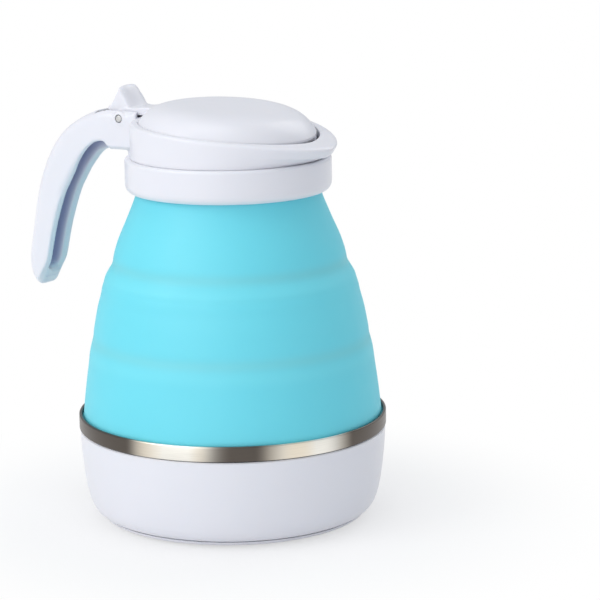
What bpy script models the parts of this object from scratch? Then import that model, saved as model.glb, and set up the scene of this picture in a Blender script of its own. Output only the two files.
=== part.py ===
"""Collapsible travel kettle, modelled at real size in metres with +Z up.

The origin lies on the kettle's axis in the plane that it stands on. The spout
points to +X, the handle to -X, and the switch sits on the +Y side.
"""

import math

import bmesh
import bpy
from mathutils import Matrix, Vector

OBJECT_NAME = "collapsible_kettle"

# Clearances and mesh fineness
JOINT_GAP = 0.0003
SLIDE_GAP = 0.0004
CUT_OVERRUN = 0.003
MERGE_DISTANCE = 0.00001
TURN_STEPS = 48
HOLE_STEPS = 20
SMALL_STEPS = 16
SMOOTH_ANGLE = math.radians(35)

# Base
BASE_HEIGHT = 0.0362
BASE_TOP_RADIUS = 0.0610
BASE_SIDE_SWELL = 0.0072
BASE_SEAM_HEIGHT = 0.0029
BASE_WALL = 0.0024
BASE_SIDE_SHARES = (
    (1.0, 1.0), (0.96, 0.80), (0.88, 0.60), (0.78, 0.426),
    (0.66, 0.276), (0.48, 0.136), (0.26, 0.05), (0.0, 0.0),
)

# Bottom cover, its pads and screws
COVER_EDGE_WIDTH = 0.0058
COVER_THICKNESS = 0.0026
COVER_EDGE_RISE = 0.0013
COVER_EDGE_INSET = 0.0011
COVER_SPIGOT_WALL = 0.0018
COVER_SPIGOT_HEIGHT = 0.0034
PAD_RADIUS = 0.0045
PAD_THICKNESS = 0.0010
PAD_INSET = 0.0100
PAD_COUNT = 4
COVER_SCREW_COUNT = 3
COVER_SCREW_INSET = 0.0088
COVER_SCREW_HEAD_RADIUS = 0.0030
COVER_SCREW_HEAD_HEIGHT = 0.0012
COVER_SCREW_RADIUS = 0.0014
COVER_SCREW_LENGTH = 0.0110
BOSS_RADIUS = 0.0038
BOSS_HEIGHT = 0.0130
BOSS_RIB_THICKNESS = 0.0024
BOSS_RIB_BITE = 0.0018
BOSS_RIB_LIFT = 0.0020

# Switch on its flat facet
SWITCH_BOTTOM = 0.0072
SWITCH_TO_PAN = 0.0028
SWITCH_FACET_DEPTH = 0.0045
SWITCH_FACET_MARGIN = 0.0050
SWITCH_FACET_RISE = 0.0018
FACET_BACKING = 0.0030
BEZEL_REACH = 0.0022
BEZEL_THICKNESS = 0.0020
BEZEL_EDGE = 0.0006
SWITCH_TO_ELEMENT = 0.0105
SWITCH_WELL_DEPTH = 0.0070
ROCKER_INSET = 0.0026
ROCKER_BACK = 0.0030
ROCKER_PIVOT_DEPTH = 0.0025
ROCKER_CROWN = 0.0011
ROCKER_TILT = math.radians(9)
ROCKER_GAP = 0.0008
TERMINAL_WIDTH = 0.0048
TERMINAL_THICKNESS = 0.0008
TERMINAL_LENGTH = 0.0075
TERMINAL_PITCH = 0.0060

# Mains inlet below the handle
INLET_FACET_DEPTH = 0.0037
INLET_BOSS_WIDTH = 0.0320
INLET_BOSS_DROP = 0.0047
INLET_FACET_DROP = 0.0062
INLET_BOTTOM = 0.0067
INLET_DROP = 0.0099
INLET_WIDTH = 0.0270
INLET_WALL = 0.0017
INLET_TO_ELEMENT = 0.0082
INLET_BACK_WALL = 0.0025
INLET_PIN_WIDTH = 0.0040
INLET_PIN_THICKNESS = 0.0020
INLET_PIN_TAIL = 0.0045
INLET_PIN_SETBACK = 0.0040
INLET_PIN_SPREAD = 0.0070
INLET_PIN_STEP = 0.0040

# Water pan and heater
PAN_DEPTH = 0.0066
PAN_METAL = 0.0006
PAN_WALL_SLOPE = 0.0030
PAN_FLANGE_WIDTH = 0.0048
PAN_FLANGE_GAP = 0.0008
SPREADER_MARGIN = 0.0057
SPREADER_THICKNESS = 0.0024
ELEMENT_SHARE = 0.51923
ELEMENT_TUBE_RADIUS = 0.0033
ELEMENT_HALF_OPENING = math.radians(30)
ELEMENT_POINTS = 25
COLD_PIN_RADIUS = 0.0016
COLD_PIN_LENGTH = 0.0080
THERMOSTAT_RADIUS = 0.0070
THERMOSTAT_FLANGE = 0.0080
THERMOSTAT_FLANGE_THICKNESS = 0.0010
THERMOSTAT_HEIGHT = 0.0090
BRACKET_LENGTH = 0.0340
BRACKET_WIDTH = 0.0070
BRACKET_RING_WIDTH = 0.0024
BRACKET_THICKNESS = 0.0010
BRACKET_SCREW_SPREAD = 0.0130
BRACKET_SCREW_HEAD_RADIUS = 0.0025
BRACKET_SCREW_HEAD_HEIGHT = 0.0013
BRACKET_SCREW_RADIUS = 0.0013
FUSE_RADIUS = 0.0020
FUSE_LENGTH = 0.0100
FUSE_OFFSET = 0.0130
FUSE_START = 0.0030
WIRE_RADIUS = 0.0011
WIRE_POINTS = 15
WIRE_END_GAP = 0.0005

# Steel band
BAND_HEIGHT = 0.0060
BAND_OVERHANG = 0.0005
BAND_METAL = 0.0009
BAND_EDGE = 0.0006
BAND_LIP_REACH = 0.0007

# Silicone wall: three rings between two creases
SILICONE_WALL = 0.0022
SILICONE_FOOT_GAP = 0.0001
SILICONE_FOOT_HEIGHT = 0.0030
SILICONE_FOOT_STEP = 0.0011
LOWER_RING_HEIGHT = 0.02635
FOLD_RING_HEIGHT = 0.0302
NECK_RING_HEIGHT = 0.03145
LOWER_RING_TAPER = 0.00465
FOLD_RING_TAPER = 0.00765
CREASE_STEP = 0.00010
NECK_RADIUS = 0.0365
LOWER_RING_SHARES = ((0.24, 0.817), (0.5, 0.563), (0.74, 0.310), (0.903, 0.149))
FOLD_RING_SHARES = (
    (0.061, 0.948), (0.134, 0.873), (0.21, 0.843), (0.5, 0.627), (0.70, 0.425), (0.786, 0.340), (0.929, 0.157),
)
NECK_RING_SHARES = (
    (0.081, 0.886), (0.138, 0.847), (0.266, 0.755), (0.377, 0.655), (0.67, 0.32), (0.90, 0.05),
)
NECK_BEAD_HEIGHT = 0.0025
NECK_BEAD_REACH = 0.0013
NECK_BEAD_DROP = 0.0049

# Collar, sleeve and cap body
COLLAR_REACH = 0.0042
COLLAR_HEIGHT = 0.0130
COLLAR_EDGE = 0.0010
COLLAR_LIP_HEIGHT = 0.0021
SLEEVE_WALL = 0.0022
SLEEVE_FLANGE_THICKNESS = 0.0016
SLEEVE_TAIL = 0.0040
CAP_REACH = 0.0019
CAP_RISE = 0.0138
CAP_WALL = 0.0046
CAP_RIM_WALL = 0.0034
CAP_RIM_EDGE = 0.0008
CAP_LEDGE_DEPTH = 0.0045
RIM_FALL = 0.0077
SPOUT_LENGTH = 0.0098
SPOUT_HALF_ANGLE = math.radians(80)
SPOUT_POINT_POWER = 1.28
SPOUT_INNER_SHARE = 0.30

# Lid
LID_RISE = 0.0074
LID_WALL = 0.0022
LID_SKIRT_WALL = 0.0016
LID_DOME_POWER = 5.0
LID_DOME_SHARES = (0.0, 0.45, 0.68, 0.82, 0.91, 0.965, 0.992, 1.0)
LINER_THICKNESS = 0.0016
LINER_RISE = 0.0009
POUR_NOTCH_WIDTH = 0.0240
POUR_NOTCH_HEIGHT = 0.0027

# Hinge and thumb tab
HINGE_TO_COLLAR = 0.0048
HINGE_HEIGHT_BELOW_RIM = 0.0009
PIN_RADIUS = 0.0016
PIN_END_REACH = 0.0003
KNUCKLE_RADIUS = 0.0034
KNUCKLE_HALF_WIDTH = 0.0066
ARM_THICKNESS = 0.0030
ARM_INSET = 0.0040
TAB_HALF_WIDTH = 0.0062
TAB_HEIGHT = 0.0126
TAB_LENGTH = 0.0112
TAB_EDGE = 0.0012
TAB_SHARES = (
    (0.98, 0.20), (0.92, 0.62), (0.79, 0.91), (0.64, 1.0), (0.48, 0.95),
    (0.23, 0.70), (0.05, 0.48), (0.0, 0.28), (0.20, 0.12), (0.55, 0.0),
)

# Handle
HANDLE_REACH = 0.0582
HANDLE_TOP_ABOVE_RIM = 0.0029
HANDLE_DROP = 0.0768
HANDLE_HALF_WIDTH = 0.0097
HANDLE_GRIP_HALF_WIDTH = 0.0077
HANDLE_TIP_HALF_WIDTH = 0.0069
HANDLE_WALL = 0.0024
HANDLE_EDGE = 0.0028
HANDLE_SIDE_WALL = 0.0026
HANDLE_OUTER_SHARES = (
    (0.0, 0.0), (0.200, 0.0), (0.277, 0.004), (0.340, 0.014), (0.455, 0.047), (0.558, 0.086),
    (0.651, 0.134), (0.729, 0.195), (0.790, 0.263), (0.845, 0.346), (0.892, 0.440), (0.930, 0.552),
    (0.959, 0.663), (0.981, 0.751), (1.0, 0.835),
)
HANDLE_TIP_SHARES = ((0.995, 0.909), (0.966, 0.961), (0.925, 0.992), (0.890, 1.0), (0.866, 0.980))
HANDLE_INNER_SHARES = (
    (0.840, 0.926), (0.797, 0.867), (0.770, 0.783), (0.741, 0.694), (0.706, 0.609), (0.672, 0.536),
    (0.634, 0.469), (0.586, 0.407), (0.536, 0.349), (0.445, 0.270), (0.356, 0.234), (0.223, 0.224),
    (0.0, 0.2225),
)
ROOT_SHARE = 0.22
GRIP_SHARE = 0.50
GROOVE_TOP_SHARE = 0.42
GROOVE_END_SHARES = ((0.277, 0.262), (0.277, 0.200), (0.290, 0.184), (0.320, 0.181), (0.385, 0.181))
NEAR_NOTCH_SHARES = (
    (0.270, 0.265), (0.270, 0.206), (0.283, 0.189), (0.318, 0.1835), (0.370, 0.186), (0.411, 0.196),
    (0.461, 0.223), (0.507, 0.263), (0.545, 0.303), (0.574, 0.347), (0.613, 0.408), (0.658, 0.486),
    (0.693, 0.558), (0.725, 0.647),
)
FAR_NOTCH_SHARES = ((0.330, 0.185), (0.375, 0.184), (0.430, 0.203), (0.405, 0.272), (0.380, 0.290), (0.360, 0.278))
NOTCH_BITE = 0.0045
NOTCH_REACH = 0.0120
NOTCH_OVERRUN_SHARE = 0.040
EAR_BOSS_RADIUS = 0.0032
EAR_BOSS_REACH = 0.0003
SLOT_REACH = 0.0139
SLOT_FLOOR_SHARE = 0.158
ROOT_FRONT_WALL = 0.0027
CLIP_HALF_WIDTH = 0.0060
CLIP_THICKNESS = 0.0035
CLIP_LENGTH = 0.0120
HANDLE_SCREW_SPREAD = 0.0045
HANDLE_SCREW_DROP = 0.0066
HANDLE_SCREW_HEAD_RADIUS = 0.0022
HANDLE_SCREW_HEAD_HEIGHT = 0.0016
HANDLE_SCREW_RADIUS = 0.0013

# Heights and radii that follow from the sizes above
BASE_SEAM_RADIUS = BASE_TOP_RADIUS - BASE_SIDE_SWELL
COVER_FLAT_RADIUS = BASE_SEAM_RADIUS - COVER_EDGE_WIDTH
PAD_RING_RADIUS = COVER_FLAT_RADIUS - PAD_INSET
COVER_SCREW_RING_RADIUS = BASE_SEAM_RADIUS - COVER_SCREW_INSET
BAND_RADIUS = BASE_TOP_RADIUS + BAND_OVERHANG
BAND_INNER_RADIUS = BAND_RADIUS - BAND_METAL
PAN_FLOOR_HEIGHT = BASE_HEIGHT - PAN_DEPTH
PAN_FLANGE_RADIUS = BAND_INNER_RADIUS - PAN_FLANGE_GAP
PAN_WALL_RADIUS = PAN_FLANGE_RADIUS - PAN_FLANGE_WIDTH
PAN_FLOOR_RADIUS = PAN_WALL_RADIUS - PAN_WALL_SLOPE
SILICONE_FOOT_RADIUS = BAND_INNER_RADIUS - SILICONE_FOOT_GAP
LOWER_RING_TOP_RADIUS = SILICONE_FOOT_RADIUS - LOWER_RING_TAPER
FOLD_RING_BOTTOM_RADIUS = LOWER_RING_TOP_RADIUS - CREASE_STEP
FOLD_RING_TOP_RADIUS = FOLD_RING_BOTTOM_RADIUS - FOLD_RING_TAPER
NECK_RING_BOTTOM_RADIUS = FOLD_RING_TOP_RADIUS - CREASE_STEP
ELEMENT_RADIUS = PAN_FLOOR_RADIUS * ELEMENT_SHARE
ELEMENT_REACH = ELEMENT_RADIUS + ELEMENT_TUBE_RADIUS
SPREADER_RADIUS = ELEMENT_REACH + SPREADER_MARGIN
SWITCH_HEIGHT = (SWITCH_BOTTOM + PAN_FLOOR_HEIGHT - SWITCH_TO_PAN) / 2
SWITCH_BODY_RADIUS = SWITCH_HEIGHT - SWITCH_BOTTOM
SWITCH_FACET_DISTANCE = BASE_TOP_RADIUS - SWITCH_FACET_DEPTH
BEZEL_RADIUS = SWITCH_BODY_RADIUS + BEZEL_REACH
SWITCH_FACET_WIDTH = 2 * (BEZEL_RADIUS + SWITCH_FACET_MARGIN)
SWITCH_FACET_HEIGHT = 2 * (BEZEL_RADIUS + SWITCH_FACET_RISE)
ROCKER_RADIUS = SWITCH_BODY_RADIUS - ROCKER_INSET
INLET_FACET_DISTANCE = BASE_TOP_RADIUS - INLET_FACET_DEPTH
INLET_BOSS_TOP = BASE_HEIGHT - INLET_BOSS_DROP
INLET_FACET_TOP = BASE_HEIGHT - INLET_FACET_DROP
INLET_RISE = BASE_HEIGHT - INLET_DROP - INLET_BOTTOM
INLET_HEIGHT = INLET_BOTTOM + INLET_RISE / 2
COLLAR_RADIUS = NECK_RADIUS + COLLAR_REACH
CAP_RADIUS = NECK_RADIUS + CAP_REACH
SPOUT_REACH = CAP_RADIUS + SPOUT_LENGTH
HINGE_REACH = COLLAR_RADIUS + HINGE_TO_COLLAR
BAND_BOTTOM = BASE_HEIGHT + JOINT_GAP
BAND_TOP = BAND_BOTTOM + BAND_HEIGHT
PAN_FLANGE_TOP = BAND_BOTTOM + PAN_METAL
SILICONE_BOTTOM = PAN_FLANGE_TOP + JOINT_GAP
LOWER_RING_TOP = BAND_TOP + LOWER_RING_HEIGHT
FOLD_RING_BOTTOM = LOWER_RING_TOP + JOINT_GAP
FOLD_RING_TOP = FOLD_RING_BOTTOM + FOLD_RING_HEIGHT
NECK_RING_BOTTOM = FOLD_RING_TOP + JOINT_GAP
COLLAR_BOTTOM = NECK_RING_BOTTOM + NECK_RING_HEIGHT
COLLAR_TOP = COLLAR_BOTTOM + COLLAR_HEIGHT
CAP_STEP = COLLAR_TOP + JOINT_GAP
CAP_RIM = CAP_STEP + CAP_RISE
CAP_LEDGE = CAP_RIM - CAP_LEDGE_DEPTH
CAP_MOUTH_RADIUS = CAP_RADIUS - CAP_WALL
CAP_RIM_INNER = CAP_RADIUS - CAP_RIM_WALL
NECK_BORE = NECK_RADIUS + SLIDE_GAP
NECK_BEAD_RADIUS = NECK_RADIUS + NECK_BEAD_REACH
COLLAR_BORE = NECK_BEAD_RADIUS + JOINT_GAP
NECK_BEAD_TOP = COLLAR_TOP + NECK_BEAD_HEIGHT - NECK_BEAD_DROP - NECK_BEAD_HEIGHT
SLEEVE_FLANGE_BOTTOM = NECK_BEAD_TOP + JOINT_GAP
SLEEVE_FLANGE_TOP = SLEEVE_FLANGE_BOTTOM + SLEEVE_FLANGE_THICKNESS
SLEEVE_RADIUS = NECK_RADIUS - SILICONE_WALL - JOINT_GAP
LID_RADIUS = CAP_RIM_INNER - SLIDE_GAP
LID_SKIRT_INNER = LID_RADIUS - LID_SKIRT_WALL
LID_SKIRT_BOTTOM = CAP_LEDGE + SLIDE_GAP
HINGE_Z = CAP_RIM - HINGE_HEIGHT_BELOW_RIM
KNUCKLE_SIDE_GAP = 2 * JOINT_GAP
SLOT_HALF_WIDTH = KNUCKLE_HALF_WIDTH + KNUCKLE_SIDE_GAP
HANDLE_TOP = CAP_RIM + HANDLE_TOP_ABOVE_RIM
ARM_BOTTOM = CAP_RIM + JOINT_GAP + SLIDE_GAP / 2
SPREADER_TOP = PAN_FLOOR_HEIGHT - JOINT_GAP
HEATER_FACE = SPREADER_TOP - SPREADER_THICKNESS - JOINT_GAP
ELEMENT_HEIGHT = HEATER_FACE - ELEMENT_TUBE_RADIUS
COVER_RADIUS = BASE_SEAM_RADIUS - JOINT_GAP
SPIGOT_RADIUS = BASE_SEAM_RADIUS - BASE_WALL - SLIDE_GAP
BEZEL_BACK = SWITCH_FACET_DISTANCE + JOINT_GAP
BEZEL_FRONT = BEZEL_BACK + BEZEL_THICKNESS
SWITCH_BACK = ELEMENT_REACH + SWITCH_TO_ELEMENT
ROCKER_WELL_RADIUS = ROCKER_RADIUS + ROCKER_GAP
ROCKER_PIVOT = BEZEL_FRONT - ROCKER_PIVOT_DEPTH
INLET_FRONT = -INLET_FACET_DISTANCE + JOINT_GAP
INLET_BACK = -ELEMENT_REACH - INLET_TO_ELEMENT
INLET_SOCKET_DEPTH = INLET_BACK - INLET_FRONT - INLET_BACK_WALL
INLET_PIN_TIP = INLET_FRONT + INLET_PIN_SETBACK
INLET_PIN_END = INLET_BACK + INLET_PIN_TAIL

WHITE_PLASTIC = ((0.80, 0.81, 0.84), 0.38, 0.0)
AQUA_SILICONE = ((0.16, 0.62, 0.76), 0.50, 0.0)
BRUSHED_STEEL = ((0.56, 0.53, 0.47), 0.28, 1.0)
PAN_STEEL = ((0.62, 0.62, 0.60), 0.30, 1.0)
ALUMINIUM = ((0.72, 0.72, 0.74), 0.40, 1.0)
BLACK_PLASTIC = ((0.02, 0.02, 0.02), 0.35, 0.0)
RED_PLASTIC = ((0.60, 0.02, 0.02), 0.20, 0.0)
RUBBER = ((0.30, 0.31, 0.33), 0.80, 0.0)
BRASS = ((0.72, 0.56, 0.26), 0.35, 1.0)
CERAMIC = ((0.78, 0.76, 0.70), 0.60, 0.0)
WIRE_BROWN = ((0.23, 0.10, 0.05), 0.55, 0.0)
WIRE_BLUE = ((0.05, 0.14, 0.42), 0.55, 0.0)
WIRE_GREEN = ((0.12, 0.40, 0.10), 0.55, 0.0)


def clear_scene():
    """Remove every object of the open scene."""
    for old in list(bpy.data.objects):
        bpy.data.objects.remove(old, do_unlink=True)


def new_collection(name):
    """Make a collection in the scene and return it."""
    collection = bpy.data.collections.new(name)
    bpy.context.scene.collection.children.link(collection)
    return collection


clear_scene()
PARTS = new_collection(OBJECT_NAME)
CUTTERS = new_collection("cutters")


def new_material(name, finish):
    """Make a Principled material from (colour, roughness, metallic)."""
    colour, roughness, metallic = finish
    material = bpy.data.materials.new(name)
    material.use_nodes = True
    shader = material.node_tree.nodes["Principled BSDF"]
    shader.inputs["Base Color"].default_value = (*colour, 1.0)
    shader.inputs["Roughness"].default_value = roughness
    shader.inputs["Metallic"].default_value = metallic
    return material


def mesh_object(name, mesh):
    """Wrap a mesh in an object that waits in the cutters' collection."""
    made = bpy.data.objects.new(name, mesh)
    CUTTERS.objects.link(made)
    made.hide_render = True
    made.display_type = "WIRE"
    return made


def baked(made):
    """Turn an object's evaluated shape into its own mesh, with no modifiers left."""
    depsgraph = bpy.context.evaluated_depsgraph_get()
    mesh = bpy.data.meshes.new_from_object(made.evaluated_get(depsgraph))
    made.modifiers.clear()
    made.data = mesh
    return made


def publish(made, finish, joint=None):
    """Move a finished piece to the parts, with its material and its joint's empty."""
    CUTTERS.objects.unlink(made)
    PARTS.objects.link(made)
    made.hide_render = False
    made.display_type = "TEXTURED"
    made.data.materials.clear()
    made.data.materials.append(new_material(made.name, finish))
    if made.type == "MESH":
        made.data.shade_smooth()
        made.data.set_sharp_from_angle(angle=SMOOTH_ANGLE)
    if joint is not None:
        made.parent = joint
        made.matrix_parent_inverse = joint.matrix_basis.inverted()
    return made


def joint_empty(name, place):
    """Mark a joint's axis with an empty."""
    empty = bpy.data.objects.new(name, None)
    empty.location = place
    PARTS.objects.link(empty)
    return empty


def box(name, low, high):
    """Make a box between two corners."""
    cube = bmesh.new()
    bmesh.ops.create_cube(cube, size=1.0)
    low, high = Vector(low), Vector(high)
    size = high - low
    middle = (low + high) / 2
    bmesh.ops.scale(cube, vec=size, verts=cube.verts)
    bmesh.ops.translate(cube, vec=middle, verts=cube.verts)
    mesh = bpy.data.meshes.new(name)
    cube.to_mesh(mesh)
    cube.free()
    return mesh_object(name, mesh)


def rod(name, start, end, radius, steps=HOLE_STEPS):
    """Make a cylinder from one point to another."""
    start, end = Vector(start), Vector(end)
    along = end - start
    turn = along.to_track_quat("Z", "Y").to_matrix().to_4x4()
    place = Matrix.Translation((start + end) / 2) @ turn
    solid = bmesh.new()
    bmesh.ops.create_cone(
        solid, cap_ends=True, cap_tris=False, segments=steps,
        radius1=radius, radius2=radius, depth=along.length, matrix=place,
    )
    mesh = bpy.data.meshes.new(name)
    solid.to_mesh(mesh)
    solid.free()
    return mesh_object(name, mesh)


def turned(name, profile, closed=True, steps=TURN_STEPS):
    """Turn a profile of (radius, height) points about the Z axis."""
    mesh = bpy.data.meshes.new(name)
    edges = [(i, i + 1) for i in range(len(profile) - 1)]
    if closed:
        edges.append((len(profile) - 1, 0))
    mesh.from_pydata([(radius, 0, height) for radius, height in profile], edges, [])
    made = mesh_object(name, mesh)
    screw = made.modifiers.new("turn", "SCREW")
    screw.steps = steps
    screw.render_steps = steps
    screw.use_merge_vertices = True
    screw.merge_threshold = MERGE_DISTANCE
    return made


def facing_y(made, height):
    """Lay a turned object's axis along +Y, at a height above the ground plane."""
    made.matrix_world = Matrix.Translation((0, 0, height)) @ Matrix.Rotation(math.radians(-90), 4, "X")
    return made


def combine(made, other, operation="DIFFERENCE"):
    """Cut, join or intersect an object with another."""
    step = made.modifiers.new(other.name, "BOOLEAN")
    step.operation = operation
    step.object = other
    step.solver = "EXACT"
    return made


def plate(name, outline, half_width):
    """Make a solid from a side outline of (x, z) points, half_width to each side in Y."""
    curve = bpy.data.curves.new(name, "CURVE")
    curve.dimensions = "2D"
    curve.fill_mode = "BOTH"
    curve.extrude = half_width
    spline = curve.splines.new("POLY")
    spline.points.add(len(outline) - 1)
    spline.use_cyclic_u = True
    for point, (across, up) in zip(spline.points, outline):
        point.co = (across, up, 0, 1)
    guide = bpy.data.objects.new(name, curve)
    CUTTERS.objects.link(guide)
    depsgraph = bpy.context.evaluated_depsgraph_get()
    mesh = bpy.data.meshes.new_from_object(guide.evaluated_get(depsgraph))
    bpy.data.objects.remove(guide)
    solid = bmesh.new()
    solid.from_mesh(mesh)
    bmesh.ops.remove_doubles(solid, verts=solid.verts, dist=MERGE_DISTANCE)
    bmesh.ops.dissolve_limit(solid, angle_limit=math.radians(1), verts=solid.verts, edges=solid.edges)
    bmesh.ops.rotate(solid, cent=(0, 0, 0), matrix=Matrix.Rotation(math.radians(90), 3, "X"), verts=solid.verts)
    bmesh.ops.recalc_face_normals(solid, faces=solid.faces)
    solid.to_mesh(mesh)
    solid.free()
    return mesh_object(name, mesh)


def add_bevel(made, width, segments=2, angle=math.radians(40)):
    """Round an object's sharp edges."""
    bevel = made.modifiers.new("round", "BEVEL")
    bevel.width = width
    bevel.segments = segments
    bevel.limit_method = "ANGLE"
    bevel.angle_limit = angle
    return made


def smooth_route(points, count):
    """Read count points from a smooth curve through the given points."""
    points = [Vector(point) for point in points]
    padded = [2 * points[0] - points[1], *points, 2 * points[-1] - points[-2]]
    route = []
    for i in range(count):
        place = i / (count - 1) * (len(points) - 1)
        leg = min(int(place), len(points) - 2)
        t = place - leg
        a, b, c, d = padded[leg:leg + 4]
        route.append((2 * b + (c - a) * t + (2 * a - 5 * b + 4 * c - d) * t ** 2
                      + (3 * b - a - 3 * c + d) * t ** 3) / 2)
    return route


def tube(name, route, radius, sides_resolution=1):
    """Make a round tube with filled ends along a route."""
    curve = bpy.data.curves.new(name, "CURVE")
    curve.dimensions = "3D"
    curve.bevel_depth = radius
    curve.bevel_resolution = sides_resolution
    curve.use_fill_caps = True
    spline = curve.splines.new("POLY")
    spline.points.add(len(route) - 1)
    for point, place in zip(spline.points, route):
        point.co = (*place, 1)
    guide = bpy.data.objects.new(name, curve)
    CUTTERS.objects.link(guide)
    guide.hide_render = True
    guide.display_type = "WIRE"
    return guide


def ring_rows(bottom, height, bottom_radius, top_radius, shares):
    """List (radius, height) down one silicone ring from its top to its bottom."""
    rows = [(top_radius, bottom + height)]
    for up, out in reversed(shares):
        rows.append((top_radius + (bottom_radius - top_radius) * out, bottom + height * up))
    rows.append((bottom_radius, bottom))
    return rows


def hollow(rows, wall):
    """Close a ring's outer rows with an inner side one wall further in."""
    return rows + [(radius - wall, height) for radius, height in reversed(rows)]


def ramp(value, start, end):
    """Rise from 0 at start to 1 at end."""
    return min(1.0, max(0.0, (value - start) / (end - start)))


def rim_fall(x):
    """Fall of the cap's rim below its height at the handle."""
    return RIM_FALL * max(0.0, (x + CAP_RADIUS) / (CAP_RADIUS + SPOUT_REACH)) ** 2


def draw_out_spout(made):
    """Draw the cap's wall out into the pouring lip, most at its rim."""
    reach = SPOUT_REACH - CAP_RADIUS
    for vertex in made.data.vertices:
        x, y, z = vertex.co
        radius = math.hypot(x, y)
        bearing = min(abs(math.atan2(y, x)) / SPOUT_HALF_ANGLE, 1.0)
        bulge = reach * (1 - math.sin(bearing * math.pi / 2)) ** SPOUT_POINT_POWER
        across = ramp(radius, CAP_RIM_INNER, CAP_RADIUS)
        out = bulge * (SPOUT_INNER_SHARE + (1 - SPOUT_INNER_SHARE) * across) * ramp(z, CAP_STEP, CAP_RIM)
        vertex.co.x = x * (radius + out) / radius
        vertex.co.y = y * (radius + out) / radius
    return made


def follow_rim(made):
    """Lower a piece towards the spout as the rim falls."""
    for vertex in made.data.vertices:
        vertex.co.z -= rim_fall(vertex.co.x) * ramp(vertex.co.z, CAP_STEP, CAP_LEDGE)
    return made


def base_outer_rows():
    """List (radius, height) down the base's outside."""
    rise = BASE_HEIGHT - BASE_SEAM_HEIGHT
    swell = BASE_TOP_RADIUS - BASE_SEAM_RADIUS
    return [(BASE_SEAM_RADIUS + swell * out, BASE_SEAM_HEIGHT + rise * up) for out, up in BASE_SIDE_SHARES]


def base_radius(height):
    """Give the base's outer radius at a height."""
    rows = base_outer_rows()
    for (upper, top), (lower, bottom) in zip(rows, rows[1:]):
        if height >= bottom:
            return lower + (upper - lower) * ramp(height, bottom, top)
    return BASE_SEAM_RADIUS


def cover_screw_place(index):
    """Give the (x, y) of one cover screw."""
    bearing = math.radians(30) + index * math.tau / COVER_SCREW_COUNT
    return COVER_SCREW_RING_RADIUS * math.cos(bearing), COVER_SCREW_RING_RADIUS * math.sin(bearing)


def screw_boss(index):
    """Make one boss for a cover screw, with the rib that ties it to the base's wall."""
    x, y = cover_screw_place(index)
    bottom = COVER_THICKNESS + JOINT_GAP
    post = rod(f"boss_{index}", (x, y, bottom), (x, y, bottom + BOSS_HEIGHT), BOSS_RADIUS)
    rib_bottom = bottom + COVER_SPIGOT_HEIGHT + BOSS_RIB_LIFT
    reach = base_radius(rib_bottom) - BASE_WALL + BOSS_RIB_BITE
    rib = box(f"boss_rib_{index}", (COVER_SCREW_RING_RADIUS, -BOSS_RIB_THICKNESS / 2, rib_bottom),
              (reach, BOSS_RIB_THICKNESS / 2, bottom + BOSS_HEIGHT - BOSS_RIB_LIFT))
    rib.rotation_euler.z = math.atan2(y, x)
    return post, rib


def switch_seat(envelope):
    """Make the thick wall behind the switch's facet, inside the base's outline."""
    half = SWITCH_FACET_WIDTH / 2
    low = SWITCH_HEIGHT - SWITCH_FACET_HEIGHT / 2
    seat = box("switch_seat", (-half, SWITCH_FACET_DISTANCE - FACET_BACKING, low),
               (half, BASE_TOP_RADIUS, SWITCH_HEIGHT + SWITCH_FACET_HEIGHT / 2))
    return combine(seat, envelope, "INTERSECT")


def facet_cutters():
    """Make the two boxes that flatten the base at the switch and at the inlet."""
    half = SWITCH_FACET_WIDTH / 2 + CUT_OVERRUN
    rise = SWITCH_FACET_HEIGHT / 2 - BASE_WALL / 2
    switch = box("switch_facet", (-half, SWITCH_FACET_DISTANCE, SWITCH_HEIGHT - SWITCH_FACET_HEIGHT),
                 (half, BASE_TOP_RADIUS + CUT_OVERRUN, SWITCH_HEIGHT + rise))
    half = INLET_BOSS_WIDTH / 2 + CUT_OVERRUN
    inlet = box("inlet_facet", (-BASE_TOP_RADIUS - CUT_OVERRUN, -half, 0),
                (-INLET_FACET_DISTANCE, half, INLET_FACET_TOP))
    return switch, inlet


def make_base_shell():
    """Make the white base: shell, facets, bosses and openings."""
    rows = base_outer_rows()
    shell = turned("base_shell", hollow(rows, BASE_WALL))
    envelope = turned("base_envelope", [(0, BASE_HEIGHT), *rows, (0, BASE_SEAM_HEIGHT)], closed=False)
    combine(shell, switch_seat(envelope), "UNION")
    inlet_seat = box("inlet_seat", (-INLET_FACET_DISTANCE, -INLET_BOSS_WIDTH / 2, BASE_SEAM_HEIGHT),
                     (-INLET_FACET_DISTANCE + FACET_BACKING, INLET_BOSS_WIDTH / 2, INLET_BOSS_TOP))
    combine(shell, inlet_seat, "UNION")
    for index in range(COVER_SCREW_COUNT):
        for piece in screw_boss(index):
            combine(shell, piece, "UNION")
    for cutter in facet_cutters():
        combine(shell, cutter)
    hole = rod("switch_hole", (0, SWITCH_FACET_DISTANCE - FACET_BACKING - CUT_OVERRUN, SWITCH_HEIGHT),
               (0, SWITCH_FACET_DISTANCE + CUT_OVERRUN, SWITCH_HEIGHT), SWITCH_BODY_RADIUS + SLIDE_GAP, TURN_STEPS)
    combine(shell, hole)
    window = box("inlet_window",
                 (-INLET_FACET_DISTANCE - CUT_OVERRUN, -INLET_WIDTH / 2 - JOINT_GAP,
                  INLET_HEIGHT - INLET_RISE / 2 - JOINT_GAP),
                 (-INLET_FACET_DISTANCE + FACET_BACKING + CUT_OVERRUN, INLET_WIDTH / 2 + JOINT_GAP,
                  INLET_HEIGHT + INLET_RISE / 2 + JOINT_GAP))
    combine(shell, window)
    for index in range(COVER_SCREW_COUNT):
        x, y = cover_screw_place(index)
        pilot = rod(f"boss_pilot_{index}", (x, y, 0), (x, y, COVER_SCREW_LENGTH + CUT_OVERRUN),
                    COVER_SCREW_RADIUS + JOINT_GAP, SMALL_STEPS)
        combine(shell, pilot)
    publish(shell, WHITE_PLASTIC)


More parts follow.
